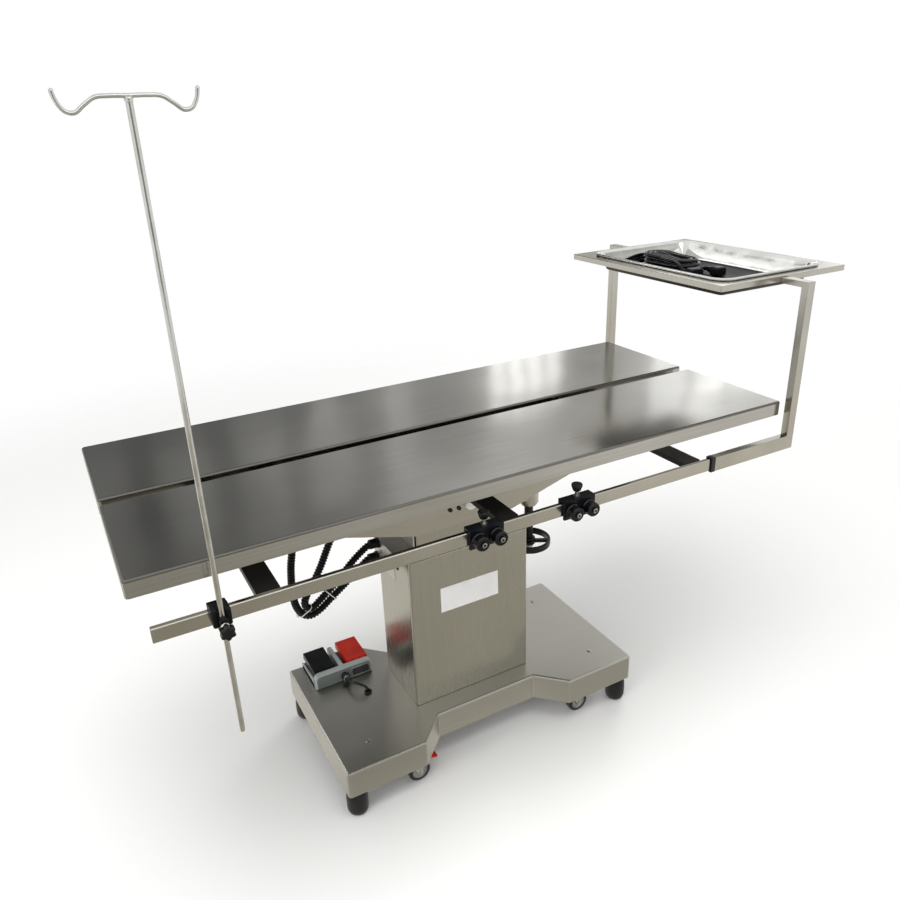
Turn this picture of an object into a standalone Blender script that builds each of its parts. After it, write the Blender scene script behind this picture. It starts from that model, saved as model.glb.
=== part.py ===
"""Operating table with a two-panel V top on a lifting, tilting column.

Metres, +Z up. Every piece is drawn in table coordinates: X = 0 at the middle of
the top, Y = 0 on its centreline with the accessory side at -Y, Z = 0 on the floor.
The root empty then moves the whole table so that the origin lies under the middle
of its box. Each moving body has an empty on its joint's axis.
"""

import math

import bmesh
import bpy
import numpy as np
from mathutils import Vector

# Clearances
FIT = 0.0003
RUN = 0.0003
SLIDE = 0.0006

# Top panels and their hinges
TOP = 0.730
PANEL_LENGTH = 1.300
PANEL_WIDTH = 0.2705
PANEL_GAP = 0.022
PANEL_RIM = 0.030
PANEL_SHEET = 0.002
PANEL_BEND = 0.004
PANEL_CORNER = 0.006
HINGE_Y = 0.017
HINGE_DROP = 0.028
HINGE_PIN_R = 0.0035
HINGE_EYE_R = 0.008
HINGE_LEAF = 0.006
HINGE_LEFT = -0.350
HINGE_MIDDLE = -0.075
HINGE_RIGHT = 0.290
HINGE_PIN_PAST = 0.016
CARRIER_WIDTH = 0.040
CARRIER_Y = 0.150
CARRIER_DEEP = 0.010
ARM_DEEP = 0.022
CARRIER_PAST = 0.060
ARM_REACH = 0.262
NOTCH_MARGIN = 0.001
NOTCH_DROP = 0.008

# Under-frame, rails and hull
SPINE_LEFT = -0.500
SPINE_RIGHT = 0.450
SPINE_WIDTH = 0.060
SPINE_DROP = 0.039
SPINE_DEEP = 0.038
SPINE_WALL = 0.003
BAR_LEFT = -0.455
BAR_MIDDLE = -0.025
BAR_RIGHT = 0.405
BAR_WIDTH = 0.038
BAR_THICK = 0.010
RAIL_Y = 0.293
RAIL_LEFT = -0.628
RAIL_RIGHT = 0.578
RAIL_DEEP = 0.025
RAIL_THICK = 0.010
RAIL_EDGE = 0.0015
HULL_Y = 0.085
HULL_SHEET = 0.003
HULL_DROP = 0.038
HULL_DEEP = 0.148
HULL_FLAT = 0.112
HULL_END = 0.300
HULL_END_DEEP = 0.0945
WEB_X = 0.140
WEB_THICK = 0.004
WEB_DEEP = 0.053
GLAND_R = 0.011
GLAND_DEEP = 0.013

# Column, lift and tilt
COLUMN_X = 0.012
COVER_HALF_X = 0.142
COVER_HALF_Y = 0.079
COVER_DROP = 0.063
COVER_SHEET = 0.002
COVER_CORNER = 0.006
LIFT_HALF_X = 0.114
LIFT_HALF_Y = 0.060
LIFT_WALL = 0.003
LIFT_CORNER = 0.005
LIFT_BOTTOM = 0.135
HEAD_DROP = 0.185
HEAD_THICK = 0.010
HEAD_HALF_X = 0.120
HEAD_HALF_Y = 0.066
CHEEK_Y = 0.058
CHEEK_THICK = 0.012
CHEEK_R = 0.025
PIVOT_DROP = 0.145
PIVOT_R = 0.008
PIVOT_HEAD_R = 0.013
PIVOT_HEAD = 0.006
BRACKET_X = -0.152
BRACKET_SHEET = 0.003
BRACKET_Y0 = -0.058
BRACKET_Y1 = 0.041
BRACKET_DROP = 0.044
BRACKET_DEEP = 0.061
BRACKET_SLOT = 0.004
BRACKET_SLOT_LONG = 0.014
BRACKET_SLOT_Y = 0.005
BRACKET_SLOT_DROP = 0.0225
MOTOR_HALF_X = 0.045
MOTOR_HALF_Y = 0.040
MOTOR_TOP = 0.190
TUBE_R = 0.030
TUBE_DROP = 0.045
ROD_R = 0.020
ROD_BOTTOM = 0.160
ROD_BORE_BOTTOM = 0.150
MOTOR_HOLE = 0.003

# Tilt screw
SCREW_X = 0.210
SCREW_R = 0.010
SPIGOT_R = 0.005
SPIGOT_RISE = 0.005
YOKE_R = 0.013
YOKE_RISE = 0.014
YOKE_DROP = 0.013
TRUNNION_R = 0.005
LUG_Y = 0.019
LUG_THICK = 0.006
LUG_HALF = 0.014
LUG_DROP = 0.012
NUT_R = 0.022
NUT_NECK_R = 0.0175
NUT_BORE_R = 0.0155
NUT_DEEP = 0.037
NUT_DROP = 0.019
NUT_NECK = 0.008
NUT_ARM_HALF = 0.016
NUT_ARM_THICK = 0.018
NUT_PAD_HALF = 0.030
NUT_PAD_THICK = 0.006
NUT_PAD_DEEP = 0.034
WHEEL_R = 0.050
WHEEL_RIM = 0.007
WHEEL_DROP = 0.142
WHEEL_THICK = 0.016
WHEEL_HUB_R = 0.015
WHEEL_BORE_R = 0.007
WHEEL_SPOKE = 0.012
SCREW_PAST = 0.009

# Base
BASE_X = 0.020
BASE_HALF_X = 0.355
BASE_HALF_Y = 0.183
WING = 0.174
WAIST_CUT = 0.059
BASE_TOP = 0.124
BASE_BOTTOM = 0.062
BASE_SHEET = 0.002
BASE_BEND = 0.004
BASE_CORNER = 0.006
PLATE_THICK = 0.012
PLATE_INSET = 0.004
FOOT_X = 0.332
FOOT_Y = 0.160
FOOT_R = 0.0225
FOOT_HEIGHT = 0.058
FOOT_STUD_R = 0.006
CASTER_X = 0.207
CASTER_Y = 0.150
CASTER_WHEEL_R = 0.025
CASTER_WHEEL_HALF = 0.009
CASTER_LIFT = 0.003
CASTER_TRAIL = 0.018
CASTER_AXLE_R = 0.004
CASTER_LEG_GAP = 0.001
CASTER_LEG = 0.003
CASTER_DISC_R = 0.019
CASTER_DISC = 0.004
BRAKE_PIVOT_X = 0.019
BRAKE_PIVOT_Z = 0.066
BRAKE_PIN_R = 0.0025
BRAKE_HALF = 0.0085

# Foot switch
SWITCH_X = -0.2345
SWITCH_HALF = 0.0675
SWITCH_FRONT = 0.080
SWITCH_WALL = 0.014
SWITCH_BACK = 0.181
SWITCH_FLOOR = 0.010
SWITCH_RIB = 0.003
SWITCH_WEB = 0.028
SWITCH_SLOT = 0.008
SWITCH_TOP = 0.034
PEDAL_Y = 0.106
PEDAL_Z = 0.022
PEDAL_PIN_R = 0.003
PEDAL_TIP = 0.178
PEDAL_SIDE = 0.0008
SWITCH_GLAND_X = -0.234
SWITCH_GLAND_Y = 0.066
SWITCH_GLAND_Z = 0.016
SWITCH_GLAND_R = 0.006
SWITCH_LEAD_R = 0.003
LEAD_HOLE_X = -0.204
LEAD_HOLE_Y = 0.0195

# Tray holder, tray and mains lead
LEG_LEFT = 0.449
LEG_DEEP = 0.030
LEG_WIDE = 0.016
LEG_WALL = 0.002
POST_X = 0.667
POST_WIDE = 0.020
POST_RISE = 0.248
STUB_DEEP = 0.012
FRAME_X = 0.672
FRAME_HALF_X = 0.179
FRAME_HALF_Y = 0.235
FRAME_RISE = 0.003
FRAME_DEEP = 0.012
FRAME_SHEET = 0.003
FRAME_FLANGE_X = 0.0375
FRAME_FLANGE_Y = 0.0335
FRAME_CORNER = 0.003
TRAY_X = 0.6665
TRAY_Y = -0.0055
TRAY_HALF_X = 0.150
TRAY_HALF_Y = 0.210
TRAY_RIM_RISE = 0.006
TRAY_DEEP = 0.040
TRAY_SHEET = 0.0015
TRAY_RIM_WIDE = 0.015
TRAY_TAPER = 0.010
TRAY_CORNER = 0.038
LEAD_R = 0.0035
LEAD_STEP = 0.0105
LEAD_LAYER = 0.0078
LEAD_IN = 0.0115
LEAD_TURNS = 2
LEAD_LAYERS = 4
LEAD_HALF_RUN = 0.050
LEAD_WAIST = 0.12
LEAD_WAIST_LONG = 0.022
LEAD_X = 0.669
LEAD_Y = 0.089
LEAD_TURN_DEG = 8.0
PLUG_HALF = 0.017
PLUG_DEEP = 0.024
PLUG_LONG = 0.042
PLUG_AT = 0.105
PLUG_PIN_R = 0.0024
PLUG_PIN = 0.019
PLUG_PIN_APART = 0.0095
SOCKET_HALF = 0.014
SOCKET_DEEP = 0.020
SOCKET_LONG = 0.046
SOCKET_AT = 0.096
TAIL_STRAIGHT = 0.008

# Drip pole and its clamp
IV_X = -0.532
IV_Y = 0.321
IV_R = 0.004
IV_DOWN = 0.211
IV_UP = 0.682
HOOK_R = 0.0025
IV_BLOCK_HALF = 0.018
IV_BLOCK_FRONT = 0.3315
IV_BLOCK_LIP = 0.006
IV_BLOCK_UP = 0.029
IV_BLOCK_DOWN = 0.031
IV_NECK_HALF = 0.011
IV_NECK_DOWN = 0.013
IV_GROOVE = 0.0052
IV_GROOVE_UP = 0.009
IV_KNOB_DOWN = 0.011
IV_STUD_R = 0.003
IV_KNOB_R = 0.0105
IV_KNOB_LOBE = 0.0015
IV_KNOB_LOBES = 6
IV_KNOB_BACK = 0.338
IV_KNOB_FRONT = 0.352
IV_COLLAR_R = 0.006

# Leash clamps
LEASH_LEFT = -0.079
LEASH_RIGHT = 0.117
LEASH_HALF = 0.034
LEASH_GAP = 0.0005
LEASH_FRONT = 0.0055
LEASH_LIP = 0.0045
LEASH_ROOF = 0.0057
LEASH_LIP_DOWN = 0.0095
LEASH_DOWN = 0.031
ROLLER_R = 0.015
ROLLER_X = 0.018
ROLLER_DOWN = 0.015
ROLLER_WIDE = 0.019
ROLLER_PIN_R = 0.003
ROLLER_HEAD_R = 0.006
ROLLER_HEAD = 0.002
ROLLER_SIDE = 0.0006
THUMB_STEM_R = 0.0025
THUMB_UP = 0.014
THUMB_HIGH = 0.017
THUMB_R = 0.0115
THUMB_NECK_R = 0.0075

# Hoses
HOSE_R = 0.0079
HOSE_ROOT_R = 0.0066
HOSE_BORE_R = 0.0048
HOSE_RIB = 0.0080
HOSE_SIDES = 8
HOSE_A_X = -0.330
HOSE_A_Y = 0.012
HOSE_A_END_Y = 0.028
HOSE_A_LOW = 0.272
HOSE_B_X = -0.226
HOSE_B_Y = 0.004
HOSE_B_END_Y = 0.018
HOSE_B_LOW = 0.2495
HOSE_A_END_DROP = 0.091
HOSE_B_END_DROP = 0.0525

# Heights, worked down and up from the top's surface
HINGE_Z = TOP - HINGE_DROP
NOTCH_TOP = TOP - NOTCH_DROP
SPINE_TOP = TOP - SPINE_DROP
SPINE_BOTTOM = SPINE_TOP - SPINE_DEEP
RAIL_TOP = SPINE_BOTTOM
HULL_TOP = TOP - HULL_DROP
HULL_BOTTOM = HULL_TOP - HULL_DEEP
HULL_END_Z = HULL_TOP - HULL_END_DEEP
WEB_BOTTOM = SPINE_BOTTOM - WEB_DEEP
GLAND_BOTTOM = SPINE_BOTTOM - GLAND_DEEP
PIVOT_Z = TOP - PIVOT_DROP
HEAD_Z = TOP - HEAD_DROP
COVER_TOP = HEAD_Z - COVER_DROP
TUBE_TOP = HEAD_Z - TUBE_DROP
BRACKET_TOP = HEAD_Z - BRACKET_DROP
BRACKET_BOTTOM = BRACKET_TOP - BRACKET_DEEP
SPIGOT_TOP = PIVOT_Z + SPIGOT_RISE
YOKE_TOP = PIVOT_Z + YOKE_RISE
YOKE_BOTTOM = PIVOT_Z - YOKE_DROP
LUG_BOTTOM = PIVOT_Z - LUG_DROP
NUT_TOP = HEAD_Z - NUT_DROP
NUT_BOTTOM = NUT_TOP - NUT_DEEP
WHEEL_TOP = HEAD_Z - WHEEL_DROP
WHEEL_BOTTOM = WHEEL_TOP - WHEEL_THICK
SCREW_END = WHEEL_BOTTOM - SCREW_PAST
POST_TOP = TOP + POST_RISE
FRAME_TOP = POST_TOP + FRAME_RISE
TRAY_RIM_TOP = FRAME_TOP + TRAY_RIM_RISE
TRAY_FLOOR = TRAY_RIM_TOP - TRAY_DEEP
IV_BOTTOM = RAIL_TOP - IV_DOWN
IV_TOP = RAIL_TOP + IV_UP
IV_BLOCK_TOP = RAIL_TOP + IV_BLOCK_UP
IV_BLOCK_BOTTOM = RAIL_TOP - IV_BLOCK_DOWN
IV_NECK_Z = RAIL_TOP - IV_NECK_DOWN
IV_GROOVE_Z = RAIL_TOP + IV_GROOVE_UP
IV_KNOB_Z = RAIL_TOP - IV_KNOB_DOWN
LEASH_LIP_BOTTOM = RAIL_TOP - LEASH_LIP_DOWN
LEASH_BOTTOM = RAIL_TOP - LEASH_DOWN
ROLLER_Z = RAIL_TOP - ROLLER_DOWN
THUMB_BOTTOM = RAIL_TOP + THUMB_UP
THUMB_TOP = THUMB_BOTTOM + THUMB_HIGH
HOSE_A_END = HEAD_Z - HOSE_A_END_DROP
HOSE_B_END = HEAD_Z - HOSE_B_END_DROP

# Derived places
HINGE_STATIONS = (HINGE_LEFT, HINGE_MIDDLE, HINGE_RIGHT)
BAR_X = (BAR_LEFT, BAR_MIDDLE, BAR_RIGHT)
LEASH_X = (LEASH_LEFT, LEASH_RIGHT)
PLATE_TOP = BASE_TOP - BASE_SHEET - FIT
PLATE_BOTTOM = PLATE_TOP - PLATE_THICK
HANG_Z = PLATE_BOTTOM - FIT
WAIST_X = BASE_HALF_X - WING
RAIL_BOTTOM = RAIL_TOP - RAIL_DEEP
RAIL_IN = RAIL_Y - RAIL_THICK / 2
RAIL_OUT = RAIL_Y + RAIL_THICK / 2
SWITCH_Z = BASE_TOP + FIT
TRAY_INSIDE = TRAY_FLOOR + TRAY_SHEET + FIT
LEAD_OUT = LEAD_IN + LEAD_TURNS * LEAD_STEP
LEAD_HALF_TURN = 2 * LEAD_HALF_RUN + math.pi * LEAD_OUT
LEAD_TAIL = LEAD_OUT + LEAD_STEP * LEAD_HALF_RUN / LEAD_HALF_TURN

PIVOTS = {}
EMPTIES = {}
FINISHES = {}
CORDS = ("mains_lead", "mains_plug", "appliance_connector")


def clear_scene():
    for thing in list(bpy.data.objects):
        bpy.data.objects.remove(thing)


def body(name, parent, pivot):
    """An empty on the body's joint axis, under its parent's empty."""
    empty = bpy.data.objects.new(name + "_axis", None)
    empty.empty_display_size = 0.03
    bpy.context.collection.objects.link(empty)
    PIVOTS[name] = Vector(pivot)
    EMPTIES[name] = empty
    if parent:
        empty.parent = EMPTIES[parent]
        empty.location = PIVOTS[name] - PIVOTS[parent]


def finish(name, colour, metallic, roughness):
    material = bpy.data.materials.new(name)
    material.use_nodes = True
    shader = material.node_tree.nodes["Principled BSDF"]
    shader.inputs["Base Color"].default_value = (*colour, 1)
    shader.inputs["Metallic"].default_value = metallic
    shader.inputs["Roughness"].default_value = roughness
    FINISHES[name] = material


def seat(name, piece, owner, material, smooth=True):
    """Names a finished piece, gives it a material and hangs it on its body's empty."""
    for vertex in piece.data.vertices:
        vertex.co -= PIVOTS[owner]
    piece.name = name
    piece.data.name = name
    piece.parent = EMPTIES[owner]
    piece.data.materials.clear()
    piece.data.materials.append(FINISHES[material])
    if smooth:
        piece.data.shade_smooth()
        piece.data.set_sharp_from_angle(angle=math.radians(32))
    return piece


def as_object(mesh_builder):
    bmesh.ops.recalc_face_normals(mesh_builder, faces=mesh_builder.faces)
    mesh = bpy.data.meshes.new("shape")
    mesh_builder.to_mesh(mesh)
    mesh_builder.free()
    made = bpy.data.objects.new("shape", mesh)
    bpy.context.collection.objects.link(made)
    return made


def loft(loops, ring=False):
    """Skins loops of equal length. The ends are capped, or joined when ring is set."""
    build = bmesh.new()
    rows = [[build.verts.new(point) for point in loop] for loop in loops]
    count = len(rows[0])
    pairs = list(zip(rows[:-1], rows[1:]))
    if ring:
        pairs.append((rows[-1], rows[0]))
    for low, high in pairs:
        for i in range(count):
            j = (i + 1) % count
            build.faces.new((low[i], low[j], high[j], high[i]))
    if not ring:
        build.faces.new(rows[0])
        build.faces.new(rows[-1])
    return as_object(build)


def on_axis(axis, a, b, along):
    """Puts plane coordinates a, b and a place along an axis into X, Y, Z."""
    if axis == "X":
        return (along, a, b)
    if axis == "Y":
        return (a, along, b)
    return (a, b, along)


def prism(outline, start, end, axis):
    rows = [[on_axis(axis, a, b, place) for a, b in outline] for place in (start, end)]
    return loft(rows)


def block(x0, x1, y0, y1, z0, z1):
    return prism([(x0, y0), (x1, y0), (x1, y1), (x0, y1)], z0, z1, "Z")


def circle(radius, centre, steps):
    angles = [2 * math.pi * i / steps for i in range(steps)]
    return [
        (centre[0] + radius * math.cos(t), centre[1] + radius * math.sin(t))
        for t in angles
    ]


def rod(radius, centre, start, end, axis, steps=16):
    return prism(circle(radius, centre, steps), start, end, axis)


def turned(profile, centre, axis, steps=16, ring=False):
    """Stacks circles given as (radius, place along the axis)."""
    rows = []
    for radius, place in profile:
        rows.append([on_axis(axis, a, b, place) for a, b in circle(radius, centre, steps)])
    return loft(rows, ring)


def inset_corners(points, inset):
    """Moves each side of a counter-clockwise polygon inwards by inset."""
    moved = []
    count = len(points)
    for i in range(count):
        before = Vector(points[i - 1])
        here = Vector(points[i])
        after = Vector(points[(i + 1) % count])
        first = (here - before).normalized()
        second = (after - here).normalized()
        turn = first.x * second.y - first.y * second.x
        normal = Vector((-first.y, first.x))
        slide = (1 - first.dot(second)) / turn
        moved.append(here + inset * normal - inset * slide * first)
    return moved


def outline(points, inset, radius, steps=2):
    """The polygon moved inwards by inset, with arcs of the given radius at its corners."""
    corners = inset_corners(points, inset)
    rounded = []
    count = len(corners)
    for i in range(count):
        here = corners[i]
        first = (here - corners[i - 1]).normalized()
        second = (corners[(i + 1) % count] - here).normalized()
        turn = first.x * second.y - first.y * second.x
        size = max(radius - inset, 0.0004) if turn > 0 else radius + inset
        angle = math.acos(max(-1.0, min(1.0, first.dot(second))))
        reach = size * math.tan(angle / 2)
        side = 1 if turn > 0 else -1
        start = here - reach * first
        middle = start + side * size * Vector((-first.y, first.x))
        for k in range(steps + 1):
            spin = side * angle * k / steps
            arm = start - middle
            cos, sin = math.cos(spin), math.sin(spin)
            rounded.append(
                (
                    middle.x + cos * arm.x - sin * arm.y,
                    middle.y + sin * arm.x + cos * arm.y,
                )
            )
    return rounded


def rectangle(half_x, half_y, centre=(0, 0)):
    x, y = centre
    return [
        (x - half_x, y - half_y),
        (x + half_x, y - half_y),
        (x + half_x, y + half_y),
        (x - half_x, y + half_y),
    ]


def level(points, z):
    return [(x, y, z) for x, y in points]


def pan_down(points, top, bottom, sheet, bend, corner):
    """A folded sheet cover, open underneath, with a bend round its top edge."""
    loops = [
        level(outline(points, bend, corner), top),
        level(outline(points, bend * 0.3, corner), top - bend * 0.3),
        level(outline(points, 0, corner), top - bend),
        level(outline(points, 0, corner), bottom),
        level(outline(points, sheet, corner), bottom),
        level(outline(points, sheet, corner), top - sheet),
    ]
    return loft(loops)


def joined(target, tool, operation):
    step = target.modifiers.new("step", "BOOLEAN")
    step.operation = operation
    step.solver = "EXACT"
    step.object = tool
    bpy.context.view_layer.update()
    graph = bpy.context.evaluated_depsgraph_get()
    mesh = bpy.data.meshes.new_from_object(target.evaluated_get(graph))
    target.modifiers.clear()
    target.data = mesh
    bpy.data.objects.remove(tool)
    return target


def weld(first, *others):
    for other in others:
        joined(first, other, "UNION")
    return first


def cut(target, *tools):
    for tool in tools:
        joined(target, tool, "DIFFERENCE")
    return target


def smooth_route(points, step):
    """Even points, step apart, on a smooth curve through hand-chosen points."""
    points = np.array(points, float)
    padded = np.vstack([2 * points[0] - points[1], points, 2 * points[-1] - points[-2]])
    fine = []
    for i in range(len(points) - 1):
        p0, p1, p2, p3 = padded[i : i + 4]
        chord = math.sqrt(np.linalg.norm(p2 - p1))
        before = math.sqrt(np.linalg.norm(p1 - p0))
        after = math.sqrt(np.linalg.norm(p3 - p2))
        slope1 = (p2 - p1) / chord + (p1 - p0) / before - (p2 - p0) / (chord + before)
        slope2 = (p3 - p2) / after + (p2 - p1) / chord - (p3 - p1) / (chord + after)
        for t in np.linspace(0, 1, 40, endpoint=False):
            a = 2 * t**3 - 3 * t**2 + 1
            b = t**3 - 2 * t**2 + t
            fine.append(a * p1 + b * chord * slope1 + (1 - a) * p2 + (t**3 - t**2) * chord * slope2)
    fine.append(points[-1])
    fine = np.array(fine)
    length = np.concatenate([[0], np.cumsum(np.linalg.norm(np.diff(fine, axis=0), axis=1))])
    count = max(2, round(length[-1] / step))
    at = np.linspace(0, length[-1], count + 1)
    return np.column_stack([np.interp(at, length, fine[:, k]) for k in range(3)])


def rings(path, radii, sides, first_end, last_end):
    """Circles square to a path, carried along it without twist."""
    tangents = np.gradient(path, axis=0)
    tangents[0] = first_end
    tangents[-1] = last_end
    tangents /= np.linalg.norm(tangents, axis=1)[:, None]
    across = np.cross(tangents[0], (0.31, 0.9, 0.2))
    rows = []
    for point, tangent, radius in zip(path, tangents, radii):
        across = across - tangent * np.dot(across, tangent)
        across /= np.linalg.norm(across)
        other = np.cross(tangent, across)
        angles = 2 * np.pi * np.arange(sides) / sides
        circle_points = np.outer(np.cos(angles), across) + np.outer(np.sin(angles), other)
        rows.append(point + radius * circle_points)
    return rows


def tube(path, radius, sides, first_end, last_end):
    return loft(rings(path, [radius] * len(path), sides, first_end, last_end))


def base_points(centre_x):
    half_x, half_y = BASE_HALF_X, BASE_HALF_Y
    waist = half_y - WAIST_CUT
    slope = WAIST_X - WAIST_CUT
    quarter = [(half_x, half_y), (WAIST_X, half_y), (slope, waist)]
    right_back = quarter
    left_back = [(-x, y) for x, y in reversed(quarter)]
    left_front = [(-x, -y) for x, y in quarter]
    right_front = [(x, -y) for x, y in reversed(quarter)]
    points = right_back + left_back + left_front + right_front
    return [(x + centre_x, y) for x, y in points]


def make_base():
    points = base_points(BASE_X)
    cover = pan_down(points, BASE_TOP, BASE_BOTTOM, BASE_SHEET, BASE_BEND, BASE_CORNER)
    hole_x = MOTOR_HALF_X + MOTOR_HOLE
    hole_y = MOTOR_HALF_Y + MOTOR_HOLE
    hole = block(
        COLUMN_X - hole_x, COLUMN_X + hole_x, -hole_y, hole_y, PLATE_TOP - 0.01, BASE_TOP + 0.01
    )
    seat("base_cover", cut(cover, hole), "table", "stainless")

    plate = prism(outline(points, PLATE_INSET, BASE_CORNER, 1), PLATE_BOTTOM, PLATE_TOP, "Z")
    seat("base_plate", plate, "table", "dark_steel")

    number = 0
    for side_y in (-1, 1):
        for side_x in (-1, 1):
            number += 1
            place = (BASE_X + side_x * FOOT_X, side_y * FOOT_Y)
            profile = [
                (FOOT_R * 0.54, 0),
                (FOOT_R * 0.83, FOOT_HEIGHT * 0.07),
                (FOOT_R * 0.98, FOOT_HEIGHT * 0.21),
                (FOOT_R, FOOT_HEIGHT * 0.40),
                (FOOT_R * 0.98, FOOT_HEIGHT * 0.74),
                (FOOT_R * 0.88, FOOT_HEIGHT * 0.97),
                (FOOT_R * 0.80, FOOT_HEIGHT),
                (FOOT_STUD_R, FOOT_HEIGHT),
                (FOOT_STUD_R, HANG_Z),
            ]
            seat(f"foot_{number}", turned(profile, place, "Z", 16), "table", "black_rubber")
            make_caster(number, side_x, side_y)


def make_caster(number, side_x, side_y):
    x = BASE_X + side_x * CASTER_X
    y = side_y * CASTER_Y
    axle_z = CASTER_LIFT + CASTER_WHEEL_R
    axle_x = x + CASTER_TRAIL
    leg_in = CASTER_WHEEL_HALF + CASTER_LEG_GAP
    leg_out = leg_in + CASTER_LEG
    swivel = f"caster_{number}"
    body(swivel, "table", (x, y, HANG_Z))
    body(f"wheel_{number}", swivel, (axle_x, y, axle_z))

    leg = [
        (x - 0.015, HANG_Z - CASTER_DISC / 2),
        (x + 0.016, HANG_Z - CASTER_DISC / 2),
        (axle_x + 0.007, axle_z + 0.006),
        (axle_x + 0.004, axle_z - 0.007),
        (axle_x - 0.005, axle_z - 0.007),
        (axle_x - 0.008, axle_z + 0.004),
        (x - 0.013, axle_z + 0.050),
    ]
    fork = rod(CASTER_DISC_R, (x, y), HANG_Z - CASTER_DISC, HANG_Z, "Z", 12)
    for side in (-1, 1):
        low, high = sorted((y + side * leg_in, y + side * leg_out))
        weld(fork, prism(leg[::-1], low, high, "Y"))
    axle = rod(CASTER_AXLE_R, (axle_x, axle_z), y - leg_out - 0.001, y + leg_out + 0.001, "Y", 10)
    weld(fork, axle)

    braked = side_y < 0
    if braked:
        pin_place = (x + BRAKE_PIVOT_X, BRAKE_PIVOT_Z)
        pin = rod(BRAKE_PIN_R, pin_place, y - leg_out - 0.001, y + leg_out + 0.001, "Y", 8)
        weld(fork, pin)
        body(f"brake_{number}", swivel, (pin_place[0], y, pin_place[1]))
        lever_points = [
            (x + 0.015, 0.071),
            (x + 0.015, 0.0615),
            (x + 0.022, 0.0600),
            (x + 0.032, 0.0530),
            (x + 0.060, 0.0470),
            (x + 0.061, 0.0510),
            (x + 0.034, 0.0575),
            (x + 0.028, 0.0605),
            (x + 0.022, 0.0710),
        ]
        lever = prism(lever_points, y - BRAKE_HALF, y + BRAKE_HALF, "Y")
        bore = rod(BRAKE_PIN_R + RUN, pin_place, y - 0.02, y + 0.02, "Y", 8)
        seat(f"caster_brake_{number}", cut(lever, bore), f"brake_{number}", "red_plastic")
    seat(f"caster_fork_{number}", fork, swivel, "chrome")

    half = CASTER_WHEEL_HALF
    bore_r = CASTER_AXLE_R + RUN
    profile = [
        (bore_r, y - half),
        (CASTER_WHEEL_R - 0.003, y - half),
        (CASTER_WHEEL_R, y - half + 0.004),
        (CASTER_WHEEL_R, y + half - 0.004),
        (CASTER_WHEEL_R - 0.003, y + half),
        (bore_r, y + half),
    ]
    wheel = turned(profile, (axle_x, axle_z), "Y", 20, ring=True)
    seat(f"caster_wheel_{number}", wheel, f"wheel_{number}", "black_rubber")


def make_column():
    centre = (COLUMN_X, 0)
    shell = rectangle(COVER_HALF_X, COVER_HALF_Y, centre)
    lift = rectangle(LIFT_HALF_X, LIFT_HALF_Y, centre)
    opening = rectangle(LIFT_HALF_X + SLIDE, LIFT_HALF_Y + SLIDE, centre)
    bend = COVER_SHEET
    loops = [
        level(outline(shell, 0, COVER_CORNER), BASE_TOP + FIT),
        level(outline(shell, 0, COVER_CORNER), COVER_TOP - bend),
        level(outline(shell, bend, COVER_CORNER), COVER_TOP),
        level(outline(opening, 0, LIFT_CORNER), COVER_TOP),
        level(outline(opening, 0, LIFT_CORNER), COVER_TOP - COVER_SHEET),
        level(outline(shell, COVER_SHEET, COVER_CORNER), COVER_TOP - COVER_SHEET),
        level(outline(shell, COVER_SHEET, COVER_CORNER), BASE_TOP + FIT),
    ]
    seat("column_cover", loft(loops, ring=True), "table", "stainless")

    column_top = HEAD_Z - FIT
    loops = [
        level(outline(lift, 0, LIFT_CORNER), LIFT_BOTTOM),
        level(outline(lift, 0, LIFT_CORNER), column_top),
        level(outline(lift, LIFT_WALL, LIFT_CORNER), column_top),
        level(outline(lift, LIFT_WALL, LIFT_CORNER), LIFT_BOTTOM),
    ]
    seat("lift_column", loft(loops, ring=True), "lift", "stainless")

    motor = block(
        COLUMN_X - MOTOR_HALF_X,
        COLUMN_X + MOTOR_HALF_X,
        -MOTOR_HALF_Y,
        MOTOR_HALF_Y,
        PLATE_TOP + FIT,
        MOTOR_TOP,
    )
    weld(motor, rod(TUBE_R, centre, MOTOR_TOP - 0.005, TUBE_TOP, "Z"))
    cut(motor, rod(ROD_R + RUN, centre, ROD_BORE_BOTTOM, TUBE_TOP + 0.01, "Z"))
    seat("lift_actuator", motor, "table", "dark_steel")
    seat("lift_rod", rod(ROD_R, centre, ROD_BOTTOM, column_top, "Z"), "lift", "chrome")


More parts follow.
